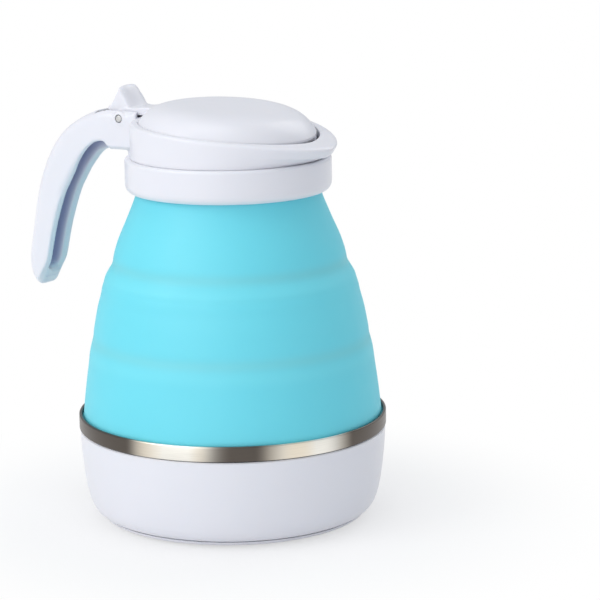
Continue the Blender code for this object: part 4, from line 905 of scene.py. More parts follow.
class Finish(Enum):
    """Every finish on the kettle."""

    WHITE = WHITE_PLASTIC
    # The handle's plastic, whose colour is multiplied by the painted shade in its groove.
    GRIP = replace(WHITE_PLASTIC, name="grip_plastic", toned_by=PAINTED_LIGHT_TONE)
    INNER_WHITE = Moulding("inner_white_plastic", (0.74, 0.75, 0.79), (0.69, 0.70, 0.75), (0.80, 0.81, 0.84),
                           roughness=0.42, glow_through=0.10)
    # The silicone's colour is multiplied by the painted fold shade and highlights that its wall carries.
    SILICONE = Moulding("aqua_silicone", (0.160, 0.695, 0.810), (0.136, 0.655, 0.780), (0.215, 0.745, 0.845),
                        roughness=0.52, spread=0.16, cloud_scale=18.0, grain_scale=1500.0, bump=0.10,
                        grain_depth=0.0002, glow_through=0.18, toned_by=PAINTED_LIGHT_TONE)
    BLACK = Moulding("black_plastic", (0.012, 0.012, 0.013), (0.020, 0.020, 0.021), (0.06, 0.06, 0.06),
                     roughness=0.36, bump=0.10)
    RED = Moulding("red_lens", (0.62, 0.018, 0.014), (0.50, 0.010, 0.010), (0.80, 0.07, 0.05), roughness=0.16,
                   spread=0.06, coat=0.6, glow_through=0.25, bump=0.02)
    MARK = Moulding("switch_marks", (0.86, 0.84, 0.82), (0.80, 0.78, 0.76), (0.9, 0.9, 0.9), roughness=0.5)
    RUBBER = Moulding("pad_rubber", (0.16, 0.165, 0.175), (0.12, 0.125, 0.13), (0.28, 0.28, 0.29), roughness=0.8,
                      grain_scale=1200.0, bump=0.25, grain_depth=0.0003)
    CERAMIC = Moulding("cream_plastic", (0.68, 0.64, 0.54), (0.60, 0.56, 0.47), (0.75, 0.72, 0.62), roughness=0.6)
    BROWN_WIRE = Moulding("brown_wire", (0.16, 0.06, 0.03), (0.12, 0.045, 0.02), (0.2, 0.1, 0.05), roughness=0.5)
    BLUE_WIRE = Moulding("blue_wire", (0.03, 0.10, 0.36), (0.02, 0.07, 0.28), (0.1, 0.2, 0.45), roughness=0.5)
    GREEN_WIRE = Moulding("green_wire", (0.10, 0.34, 0.06), (0.22, 0.36, 0.05), (0.2, 0.4, 0.1), roughness=0.5)
    # The band's painted reflections: bright, dark and warm highlight colours.
    BAND = Metal("brushed_steel_band", (0.98, 0.955, 0.88), (0.124, 0.107, 0.093), (0.90, 0.74, 0.52),
                 roughness=0.34, patches=2.6, lines=2800.0)
    STEEL = Metal("plain_steel", (0.72, 0.72, 0.71), (0.48, 0.48, 0.48), (0.62, 0.60, 0.57), roughness=0.30)
    PLATED = Metal("plated_pin", (0.90, 0.90, 0.89), (0.72, 0.72, 0.71), (0.82, 0.81, 0.79), roughness=0.48)
    PAN = Metal("pan_steel", (0.74, 0.74, 0.73), (0.50, 0.50, 0.50), (0.66, 0.65, 0.62), roughness=0.26)
    ALUMINIUM = Metal("cast_aluminium", (0.74, 0.74, 0.76), (0.58, 0.58, 0.60), (0.68, 0.68, 0.69), roughness=0.5)
    BRASS = Metal("plain_brass", (0.78, 0.60, 0.28), (0.56, 0.40, 0.16), (0.72, 0.54, 0.22), roughness=0.28)


class FinishShelf:
    """Keeps one material for each finish."""

    def __init__(self) -> None:
        """Start empty."""
        self.made: dict[Finish, bpy.types.Material] = {}

    def get(self, finish: Finish) -> bpy.types.Material:
        """Return a finish's material, built on first use.

        Args:
            finish: The finish.

        Returns:
            Its material.
        """
        if finish not in self.made:
            self.made[finish] = finish.value.material()
        return self.made[finish]

    def dress(self, made: bpy.types.Object, finish: Finish) -> bpy.types.Object:
        """Give an object one finish all over.

        Args:
            made: The object.
            finish: The finish.

        Returns:
            The same object.
        """
        made.data.materials.clear()
        made.data.materials.append(self.get(finish))
        for face in made.data.polygons:
            face.material_index = 0
        return made


SHELF = FinishShelf()


def tone(made: bpy.types.Object, rule: Callable[[bpy.types.MeshVertex], Colour]) -> None:
    """Give every point of a piece the painted light and shade that its finish is multiplied with.

    Args:
        made: The piece.
        rule: Gives a point's tone.
    """
    layer = made.data.attributes.new(PAINTED_LIGHT_TONE, "FLOAT_COLOR", "POINT")
    for spot, vertex in zip(layer.data, made.data.vertices):
        spot.color = (*rule(vertex), 1.0)


def place(made: bpy.types.Object, finish: Finish, body: Body, nodes: Sequence[str], angle: float = 40) -> None:
    """Finish a piece and put it in its CAD nodes' place.

    Args:
        made: The piece.
        finish: Its finish.
        body: The body that it rides on.
        nodes: The CAD nodes that it stands for, which are hidden.
        angle: Edges that turn more than this many degrees stay crisp.
    """
    smooth_shaded(SHELF.dress(made, finish), angle)
    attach(made, body.value)
    if nodes:
        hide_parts(*nodes)
    LOG.info("%s: %d faces on %s", made.name, len(made.data.polygons), body.value)


# ---- The kettle -------------------------------------------------------------


@dataclass
class Stack:
    """Heights and radii that several pieces share, in metres."""

    base_top: float = 0.0362
    band_bottom: float = 0.0365
    band_top: float = 0.0425
    silicone_foot: float = 0.0374
    fold_low: float = 0.0690
    fold_high: float = 0.0995
    collar_bottom: float = 0.1311
    collar_top: float = 0.1441
    cap_step: float = 0.1444
    cap_ledge: float = 0.1537
    rim: float = 0.1582
    cap_radius: float = 0.0384
    rim_inner: float = 0.0350
    mouth: float = 0.0338
    spout_reach: float = 0.0482
    rim_fall: float = 0.0077
    hinge: Row = (-0.0455, 0.1573)
    gap: float = 0.0003

    def fall(self, x: float) -> float:
        """Give how far the rim lies below its height at the handle."""
        return self.rim_fall * max(0.0, (x + self.cap_radius) / (self.cap_radius + self.spout_reach)) ** 2

    def follow_rim(self, point: Vector) -> Vector:
        """Lower a point of the cap or lid as the rim falls towards the spout."""
        point.z -= self.fall(point.x) * ramp(point.z, self.cap_step, self.cap_ledge)
        return point

    def hinge_bar(self, name: str, half_width: float, radius: float) -> bpy.types.Object:
        """Make a round bar along the lid's hinge line."""
        x, z = self.hinge
        return bar(name, (x, -half_width, z), (x, half_width, z), radius)


@dataclass
class FoldingWall:
    """The silicone wall: three rings in one moulding, with a soft shoulder and valley between each two."""

    stack: Stack
    wall: float = 0.0022
    foot_radius: float = 0.0605
    foot_height: float = 0.0030
    foot_slope: float = 0.8 * MM
    outer: Sequence[Row] = (
        (0.05940, 0.0425), (0.05870, 0.0490), (0.05785, 0.0557), (0.05695, 0.0620), (0.05640, 0.0663),
        (0.05588, 0.0690), (0.05535, 0.0710), (0.05480, 0.0732), (0.05455, 0.0755), (0.05415, 0.0779),
        (0.05290, 0.0843), (0.05150, 0.0895), (0.05075, 0.0929), (0.05008, 0.0950), (0.04942, 0.0972),
        (0.04790, 0.0999), (0.04718, 0.1010), (0.04660, 0.1022), (0.04625, 0.1034), (0.04597, 0.1050),
        (0.04555, 0.1068), (0.04520, 0.1080), (0.04405, 0.1115), (0.04215, 0.1160), (0.04055, 0.1196),
        (0.03710, 0.1280), (0.03650, 0.1311),
    )
    neck_radius: float = 0.0365
    bead_radius: float = 0.0378
    bead_low: float = 0.1367
    bead_high: float = 0.1392
    points: int = 120
    # Painted light on the folds: the first heights and tint give painted shade above each valley, the second a painted
    # highlight on each shoulder.
    painted_shade_at: Sequence[float] = (0.0720, 0.1032)
    painted_highlight_at: Sequence[float] = (0.0669, 0.0981)
    band_width: float = 0.0023
    painted_fold_shade: Colour = (1.13, 0.945, 0.915)
    light: Colour = (1.09, 1.025, 1.012)

    def painted_fold_tint_at(self, height: float) -> Colour:
        """Give the painted tint at a height: shade above each fold's valley, a highlight on its shoulder, both painted.

        Args:
            height: The height in metres.

        Returns:
            The tone.
        """
        mixed = [1.0, 1.0, 1.0]
        for places, tint in ((self.painted_shade_at, self.painted_fold_shade), (self.painted_highlight_at, self.light)):
            share = sum(math.exp(-(((height - middle) / self.band_width) ** 2)) for middle in places)
            mixed = [value * (1 + (part - 1) * share) for value, part in zip(mixed, tint)]
        return tuple(mixed)

    def build(self) -> None:
        """Make the wall between base and cap."""
        outer = smooth_line(self.outer, self.points)
        foot_top = self.stack.silicone_foot + self.foot_height
        rows = [(self.foot_radius - self.wall - self.foot_slope, self.stack.silicone_foot),
                (self.foot_radius, self.stack.silicone_foot), (self.foot_radius, foot_top),
                (outer[0][0], foot_top + self.foot_slope)]
        rows += outer
        rows += [(self.neck_radius, self.bead_low), (self.bead_radius, self.bead_low),
                 (self.bead_radius, self.bead_high), (self.neck_radius - self.wall, self.bead_high)]
        rows += [(radius - self.wall, height) for radius, height in reversed(outer)]
        made = smooth_shaded(SHELF.dress(revolved("folding_wall", rows), Finish.SILICONE), 50)
        # Paint the fold shade and highlights into the wall's points.
        tone(made, lambda vertex: self.painted_fold_tint_at(vertex.co.z))
        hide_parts("silicone_lower_wall", "silicone_fold_wall", "silicone_neck_wall")
        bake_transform(made)
        LOG.info("%s: %d faces from base to cap", made.name, len(made.data.polygons))


@dataclass
class BaseUnit:
    """The white base with its steel band, pan, cover, pads and screws."""

    stack: Stack
    top_radius: float = 0.0610
    seam_radius: float = 0.0538
    seam_height: float = 0.0029
    wall: float = 0.0024
    lip: float = 0.5 * MM
    side: Sequence[Row] = ((0.0, 0.0), (0.26, 0.05), (0.48, 0.136), (0.66, 0.276), (0.78, 0.426), (0.88, 0.60),
                           (0.96, 0.80), (1.0, 1.0))
    side_points: int = 54
    switch_plane: float = 0.0565
    switch_height: float = 0.0170
    switch_hole: float = 0.0102
    facet_top: float = 0.0292
    inlet_plane: float = 0.0573
    inlet_top: float = 0.0270
    window_half: float = 0.0138
    window_ends: Row = (0.0064, 0.0266)
    cove_reach: float = 0.0095
    cove_drop: float = 0.0010
    edge_blend: float = 0.0014
    backing: float = 0.0030
    band_radius: float = 0.0615
    band_metal: float = 0.0009
    band_tuck: float = 0.4 * MM
    band_edge: float = 0.55 * MM
    cover_flat: float = 0.0480
    cover_top: float = 2.6 * MM
    spigot_top: float = 6.0 * MM
    spigot_wall: float = 1.8 * MM
    pad_radius: float = 0.0045
    pad_height: float = 1 * MM
    pad_seat: Row = (pad_radius + 0.3 * MM, 1.3 * MM)
    pads: RingPlaces = RingPlaces(4, 0.0380, 45)
    screw_seat: Row = (3.3 * MM, 1.8 * MM)
    screws: RingPlaces = RingPlaces(3, 0.0450, 30)
    pan_floor: float = 0.0296
    pan_radius: float = 0.0520
    pan_metal: float = 0.0006
    pan_ridge: Sequence[float] = (0.036, 0.0372, 0.0386)
    pan_shoulder: Row = (0.0544, 0.0550)
    pan_rim: float = 0.0598

    def side_rows(self) -> list[Row]:
        """List the base's outside from its seam to its top.

        Returns:
            Points of (radius, height).
        """
        rise = self.stack.base_top - self.seam_height
        swell = self.top_radius - self.seam_radius
        points = [(self.seam_radius + swell * out, self.seam_height + rise * up) for out, up in self.side]
        return smooth_line(points, self.side_points)

    def cove(self, height: float, start: float) -> float:
        """Give how far the wall comes forward again above a flat, as a hollow curve up to the band."""
        return self.cove_reach * ramp(height, start, self.stack.base_top - self.cove_drop) ** 2

    def flattened(self, point: Vector) -> Vector:
        """Flatten the wall at the switch and at the inlet.

        Args:
            point: A point of the turned shell.

        Returns:
            Its new place.
        """
        skin = math.hypot(point.x, point.y)
        depth = self.backing if skin < self.outer_at(point.z) - self.wall / 2 else 0.0
        if abs(point.x) < self.top_radius / 2 and point.y > 0:
            limit = self.switch_plane - depth + self.cove(point.z, self.facet_top)
            point.y = soft_least(point.y, limit, self.edge_blend)
        if abs(point.y) < self.top_radius / 2 and point.x < 0:
            limit = self.inlet_plane - depth + self.cove(point.z, self.inlet_top)
            point.x = -soft_least(-point.x, limit, self.edge_blend)
        return point

    def outer_at(self, height: float) -> float:
        """Give the base's outer radius at a height."""
        return min(self.side_rows(), key=lambda row: abs(row[1] - height))[0]

    def build(self) -> None:
        """Make every piece of the base."""
        self.build_shell()
        self.build_band()
        self.build_cover()
        self.build_pan()

    def build_shell(self) -> None:
        """Make the white shell with its two flats and their openings."""
        outer = self.side_rows()
        inner = [(radius - self.wall, height) for radius, height in reversed(outer)]
        lip, top, low = self.lip, outer[-1], outer[0]
        rows = [(low[0] - lip, low[1]), (low[0], low[1] + lip * 0.6)] + outer[2:-1]
        rows += [(top[0], top[1] - lip), (top[0] - lip, top[1])] + inner[1:]
        shell = face_out(reshaped(revolved("white_base", rows, segments=256), self.flattened))
        behind = 2 * self.backing
        hole = bar("hole", (0, self.switch_plane - behind, self.switch_height),
                   (0, self.top_radius, self.switch_height), self.switch_hole, steps=96)
        joined(shell, hole, Join.CUT)
        window = slab("window", (-self.top_radius, -self.window_half, self.window_ends[0]),
                      (-self.inlet_plane + behind, self.window_half, self.window_ends[1]))
        joined(shell, rounded_edges(window, 1.2 * MM), Join.CUT)
        place(shell, Finish.WHITE, Body.BASE, ("base_shell",), angle=28)

    def build_band(self) -> None:
        """Roll the steel band."""
        low, high = self.stack.band_bottom, self.stack.band_top
        hoop = linked("steel_hoop", bpy.data.meshes.new("steel_hoop"))
        RolledHoop().run(hoop, Steps=256, Radius=self.band_radius - self.band_metal / 2 - self.band_tuck,
                         Metal=self.band_metal + self.band_tuck, Height=high - low, Edge=self.band_edge,
                         Material=SHELF.get(Finish.BAND))
        reshaped(hoop, lambda point: point + Vector((0, 0, (high + low) / 2)))
        place(face_out(hoop), Finish.BAND, Body.BASE, ("steel_band",), angle=60)

    def build_cover(self) -> None:
        """Make the bottom cover, its pads and its screws."""
        edge = self.seam_height - self.stack.gap
        lip = self.seam_radius - self.stack.gap
        spigot = self.seam_radius - self.wall - 0.4 * MM
        bore = spigot - self.spigot_wall
        corners = [(0, 0, 0), (self.cover_flat, 0, 2 * MM), (lip - 0.9 * MM, 1.3 * MM, 0.8 * MM),
                   (lip, edge, 0.4 * MM), (spigot, edge, 0.3 * MM), (spigot, self.spigot_top, 0.4 * MM),
                   (bore, self.spigot_top, 0.4 * MM), (bore, self.cover_top, 0.3 * MM), (0, self.cover_top, 0)]
        cover = revolved("bottom_cover_fine", filleted(corners, closed=False))
        ring = CopyRing()
        for name, (radius, depth), places in (("pad_seats", self.pad_seat, self.pads),
                                              ("head_seats", self.screw_seat, self.screws)):
            seat = bar(name, (0, 0, -2 * MM), (0, 0, depth), radius)
            joined(cover, ring.spread(seat, places, SHELF.get(Finish.WHITE)), Join.CUT)
        place(cover, Finish.WHITE, Body.BASE, ("bottom_cover",), angle=30)
        corners = [(0, 0, 0), (self.pad_radius, 0, 0.25 * MM), (self.pad_radius, self.pad_height, 0.2 * MM),
                   (0, self.pad_height, 0)]
        pads = revolved("foot_pads", filleted(corners, closed=False), segments=40)
        ring.spread(pads, self.pads, SHELF.get(Finish.RUBBER))
        place(pads, Finish.RUBBER, Body.BASE, [f"foot_pad_{i}" for i in range(1, 5)], angle=50)
        screws = ring.spread(CrossScrew().build("cover_screws"), self.screws, SHELF.get(Finish.STEEL))
        place(screws, Finish.STEEL, Body.BASE, [f"cover_screw_{i}" for i in range(1, 4)], angle=35)

    def build_pan(self) -> None:
        """Make the pan that the water stands in."""
        under, top = self.stack.band_bottom, self.stack.band_bottom + self.pan_metal
        floor = self.pan_floor + self.pan_metal
        start, crest, end = self.pan_ridge
        above, below = self.pan_shoulder
        corners = [(0, floor, 0), (start, floor, 1 * MM), (crest, floor + 0.35 * MM, 1 * MM), (end, floor, 1 * MM),
                   (self.pan_radius - 1 * MM, floor, 2.5 * MM), (above, top, 1.2 * MM),
                   (self.pan_rim, top, 0.2 * MM), (self.pan_rim, under, 0.2 * MM), (below, under, 1.2 * MM),
                   (self.pan_radius, self.pan_floor, 2.5 * MM), (0, self.pan_floor, 0)]
        pan = revolved("water_pan", filleted(corners, closed=False))
        place(pan, Finish.PAN, Body.BASE, ("heating_pan",), angle=40)


@dataclass
class CrossScrew:
    """A small screw with a cross recess, head down at the origin."""

    head_radius: float = 0.0030
    head_height: float = 0.0012
    shank_radius: float = 0.0014
    length: float = 0.0110
    sunk: float = 0.3 * MM
    recess: float = 0.0007
    slot: Row = (2.0 * MM, 0.35 * MM)

    def build(self, name: str) -> bpy.types.Object:
        """Make the screw.

        Args:
            name: The object's name.

        Returns:
            The screw on the Z axis, with its head at the bottom.
        """
        low, head_top = self.sunk, self.sunk + self.head_height
        corners = [(0, low, 0), (self.head_radius, low, 0.35 * MM), (self.head_radius, head_top, 0.2 * MM),
                   (self.shank_radius, head_top, 0.1 * MM), (self.shank_radius, self.length - 1 * MM, 0.3 * MM),
                   (0.4 * MM, self.length, 0.2 * MM), (0, self.length, 0)]
        screw = revolved(name, filleted(corners, closed=False, steps=3), segments=32)
        for wide, deep in (self.slot, self.slot[::-1]):
            joined(screw, slab("recess", (-wide, -deep, -1 * MM), (wide, deep, low + self.recess)), Join.CUT)
        return screw


@dataclass
class SwitchUnit:
    """The round rocker switch: black bezel and barrel, red rocker with its two marks."""

    height: float = 0.0170
    plane: float = 0.0568
    front: float = 0.0588
    bezel_radius: float = 0.0120
    barrel_radius: float = 0.0098
    barrel_end: float = 0.0408
    well_radius: float = 0.0080
    well_floor: float = 0.0518
    rocker_radius: float = 0.0072
    pivot: float = 0.0563
    rocker_back: float = 0.0030
    crown: float = 0.0011
    crease: float = 1.2 * MM
    tilt: float = math.radians(9)
    mark_half: float = 0.2 * MM
    mark_sunk: float = 0.6
    mark_lift: float = 0.05 * MM
    bar_ends: Row = (2.0 * MM, 5.2 * MM)
    bar_half: float = 0.35 * MM
    ring_radii: Row = (1.0 * MM, 1.7 * MM)
    ring_place: float = -3.6 * MM

    def build(self) -> None:
        """Make the housing, the rocker and its marks."""
        corners = [(0, self.well_floor, 0), (self.well_radius, self.well_floor, 0.3 * MM),
                   (self.well_radius, self.front, 0.5 * MM), (self.bezel_radius - 1.6 * MM, self.front, 0.8 * MM),
                   (self.bezel_radius, self.front - 1.0 * MM, 0.7 * MM), (self.bezel_radius, self.plane, 0.2 * MM),
                   (self.barrel_radius, self.plane, 0.1 * MM), (self.barrel_radius, self.barrel_end, 0.5 * MM),
                   (0, self.barrel_end, 0)]
        housing = facing_y(revolved("switch_bezel", filleted(corners, closed=False), segments=128), self.height)
        place(face_out(housing), Finish.BLACK, Body.BASE, ("switch_housing",), angle=45)
        self.build_rocker()

    def turn(self) -> Matrix:
        """Give the rocker's tilt about its pivot at rest."""
        about = Matrix.Translation((0, self.pivot, 0))
        return about @ Matrix.Rotation(self.tilt, 4, "Z") @ about.inverted()

    def face_at(self, x: float) -> float:
        """Give how far out the rocker's face lies before it is tilted, at a place across it."""
        return self.front - self.crown / 2 + math.hypot(x, self.crease) * math.tan(self.tilt)

    def build_rocker(self) -> None:
        """Make the red rocker and set the two marks on its face."""
        back = self.pivot - self.rocker_back
        corners = [(0, back, 0), (self.rocker_radius, back, 0.5 * MM), (self.rocker_radius, self.front, 0.5 * MM),
                   (0, self.front, 0)]
        fine = split_long(filleted(corners, closed=False), 0.7 * MM, closed=False)
        rocker = facing_y(revolved("red_rocker", fine, segments=96), self.height)
        middle = self.pivot + 1 * MM

        def dished(point: Vector) -> Vector:
            """Lift the face into two flats that meet in the middle.

            Args:
                point: A point of the rocker.

            Returns:
                Its new place.
            """
            if point.y > middle:
                share = (point.y - middle) / (self.front - middle)
                point.y = middle + share * (self.face_at(point.x) - middle)
            return point

        reshaped(face_out(rocker), dished)
        rocker.data.transform(self.turn())
        place(rocker, Finish.RED, Body.ROCKER, ("switch_rocker",), angle=50)
        self.build_marks()

    def build_marks(self) -> None:
        """Make the bar for on and the ring for off, bent with the rocker's face."""
        half = self.mark_half
        bar_mark = slab("mark_bar", (self.bar_ends[0], -half, -self.bar_half), (self.bar_ends[1], half, self.bar_half))
        inner, outer = self.ring_radii
        corners = [(inner, -half, 0.05 * MM), (outer, -half, 0.05 * MM), (outer, half, 0.05 * MM),
                   (inner, half, 0.05 * MM)]
        ring_mark = facing_y(revolved("mark_ring", filleted(corners, steps=2), segments=48), 0.0)
        ring_mark.data.transform(Matrix.Translation((self.ring_place, 0, 0)))
        for mark in (rounded_edges(split_bar(bar_mark), 0.08 * MM, segments=2), face_out(ring_mark)):
            reshaped(mark, self.on_face)
            mark.data.transform(self.turn())
            place(mark, Finish.MARK, Body.ROCKER, ())

    def on_face(self, point: Vector) -> Vector:
        """Lay a mark's point on the rocker's face, a little proud of it."""
        out = point.y * self.mark_sunk + self.face_at(point.x) + self.mark_lift
        return Vector((point.x, out, point.z + self.height))


def split_bar(made: bpy.types.Object, cuts: int = 6) -> bpy.types.Object:
    """Cut a short bar into steps along X so that it can bend with a face.

    Args:
        made: The bar.
        cuts: How many cuts there are.

    Returns:
        The same object.
    """
    solid = bmesh.new()
    solid.from_mesh(made.data)
    edges = [edge for edge in solid.edges if abs((edge.verts[0].co - edge.verts[1].co).normalized().x) > 0.9]
    bmesh.ops.subdivide_edges(solid, edges=edges, cuts=cuts, use_grid_fill=True)
    solid.to_mesh(made.data)
    solid.free()
    return made


@dataclass
class MainsInlet:
    """The three-pin mains inlet below the handle."""

    front: float = -0.0570
    back: float = -0.0385
    height: float = 0.0165
    half_width: float = 0.0135
    half_height: float = 0.0098
    wall: float = 0.0017
    depth: float = 0.0160
    corner: float = 0.0042
    tip: float = -0.0530
    pin_end: float = -0.0340
    pin_half: Row = (1 * MM, 2 * MM)
    pins: dict[str, Row] = field(default_factory=lambda: {
        "inlet_pin_live": (0.0070, 0.0145), "inlet_pin_neutral": (-0.0070, 0.0145), "inlet_pin_earth": (0.0, 0.0185),
    })

    def build(self) -> None:
        """Make the housing with its cut-cornered socket, and the pins."""
        wide, tall, middle = self.half_width, self.half_height, self.height
        housing = slab("inlet_shell", (self.front, -wide, middle - tall), (self.back, wide, middle + tall))
        rounded_edges(housing, 0.6 * MM, segments=3)
        y, z = wide - self.wall, tall - self.wall
        shape = [(-y, middle - z), (y, middle - z), (y, middle + z - self.corner), (y - self.corner, middle + z),
                 (-y + self.corner, middle + z), (-y, middle + z - self.corner)]
        socket = plate("socket", shape, self.depth)
        socket.data.transform(Matrix.Translation((self.front, 0, 0)) @ Matrix.Rotation(math.radians(90), 4, "Z"))
        joined(housing, rounded_edges(face_out(socket), 0.5 * MM, segments=3), Join.CUT)
        place(housing, Finish.BLACK, Body.BASE, ("inlet_housing",), angle=30)
        thick, high = self.pin_half
        for name, (across, up) in self.pins.items():
            pin = slab(name + "_fine", (self.tip, across - thick, up - high), (self.pin_end, across + thick, up + high))
            place(rounded_edges(pin, 0.5 * MM, segments=3), Finish.BRASS, Body.BASE, (name,), angle=35)


@dataclass
class NeckAndCap:
    """The collar, the sleeve inside the neck and the spouted cap body."""

    stack: Stack
    collar_radius: float = 0.0407
    collar_bore: float = 0.0381
    neck_bore: float = 0.0369
    sleeve_radius: float = 0.0340
    sleeve_wall: float = 0.0022
    sleeve_tail: float = 0.1271
    flange_radius: float = 0.0378
    flange_low: float = 0.1395
    flange_high: float = 0.1411
    skirt_depth: float = 2.7 * MM
    spout_half_angle: float = math.radians(80)
    spout_power: float = 1.28
    spout_soft: float = 0.05
    inner_share: float = 0.30

    def drawn_out(self, point: Vector) -> Vector:
        """Draw the cap's wall out into the pouring lip and let the rim fall towards it.

        Args:
            point: A point of the turned cap.

        Returns:
            Its new place.
        """
        stack = self.stack
        radius = math.hypot(point.x, point.y)
        bearing = abs(math.atan2(point.y, point.x)) / self.spout_half_angle
        soft = math.hypot(bearing, self.spout_soft) - self.spout_soft * ramp(bearing, 1.0, 0.0)
        lift = (1 - math.sin(min(soft, 1.0) * math.pi / 2)) ** self.spout_power
        bulge = (stack.spout_reach - stack.cap_radius) * lift
        across = ramp(radius, stack.rim_inner, stack.cap_radius)
        grow = bulge * (self.inner_share + (1 - self.inner_share) * across) * ramp(point.z, stack.cap_step, stack.rim)
        share = (radius + grow) / radius
        return stack.follow_rim(Vector((point.x * share, point.y * share, point.z)))

    def build(self) -> None:
        """Make the collar, the sleeve and the cap body."""
        stack = self.stack
        low, high, outer = stack.collar_bottom, stack.cap_step - 0.06 * MM, self.collar_radius
        corners = [(self.collar_bore, high, 0.3 * MM), (outer, high, 1.4 * MM), (outer, low + 1.9 * MM, 1.6 * MM),
                   (outer - 1.6 * MM, low, 1.1 * MM), (self.neck_bore, low, 0.3 * MM),
                   (self.neck_bore, low + 2.1 * MM, 0.3 * MM), (self.collar_bore, low + 3.4 * MM, 0.3 * MM)]
        collar = revolved("white_collar", split_long(filleted(corners, steps=7), 2 * MM))
        place(collar, Finish.WHITE, Body.CAP, ("neck_collar",), angle=50)
        bore = self.sleeve_radius - self.sleeve_wall
        wide = self.flange_radius
        corners = [(bore, self.flange_high, 0.6 * MM), (wide, self.flange_high, 0.3 * MM),
                   (wide, self.flange_low, 0.3 * MM), (self.sleeve_radius, self.flange_low, 0.3 * MM),
                   (self.sleeve_radius, self.sleeve_tail, 0.4 * MM), (bore, self.sleeve_tail, 0.8 * MM)]
        sleeve = revolved("inner_sleeve", filleted(corners))
        place(sleeve, Finish.INNER_WHITE, Body.CAP, ("neck_sleeve",), angle=40)
        low = stack.collar_top - self.skirt_depth
        corners = [(stack.rim_inner, stack.rim, 0.4 * MM), (stack.cap_radius, stack.rim, 1.5 * MM),
                   (stack.cap_radius, stack.cap_step, 0.1 * MM), (wide, stack.cap_step, 0.1 * MM),
                   (wide, low, 0.3 * MM), (stack.mouth, low, 0.4 * MM),
                   (stack.mouth, stack.cap_ledge, 0.5 * MM), (stack.rim_inner, stack.cap_ledge, 0.2 * MM)]
        rows = split_long(filleted(corners, steps=6), 0.9 * MM)
        cap = reshaped(revolved("spouted_cap", rows, segments=256), self.drawn_out)
        place(cap, Finish.WHITE, Body.CAP, ("cap_body",), angle=50)


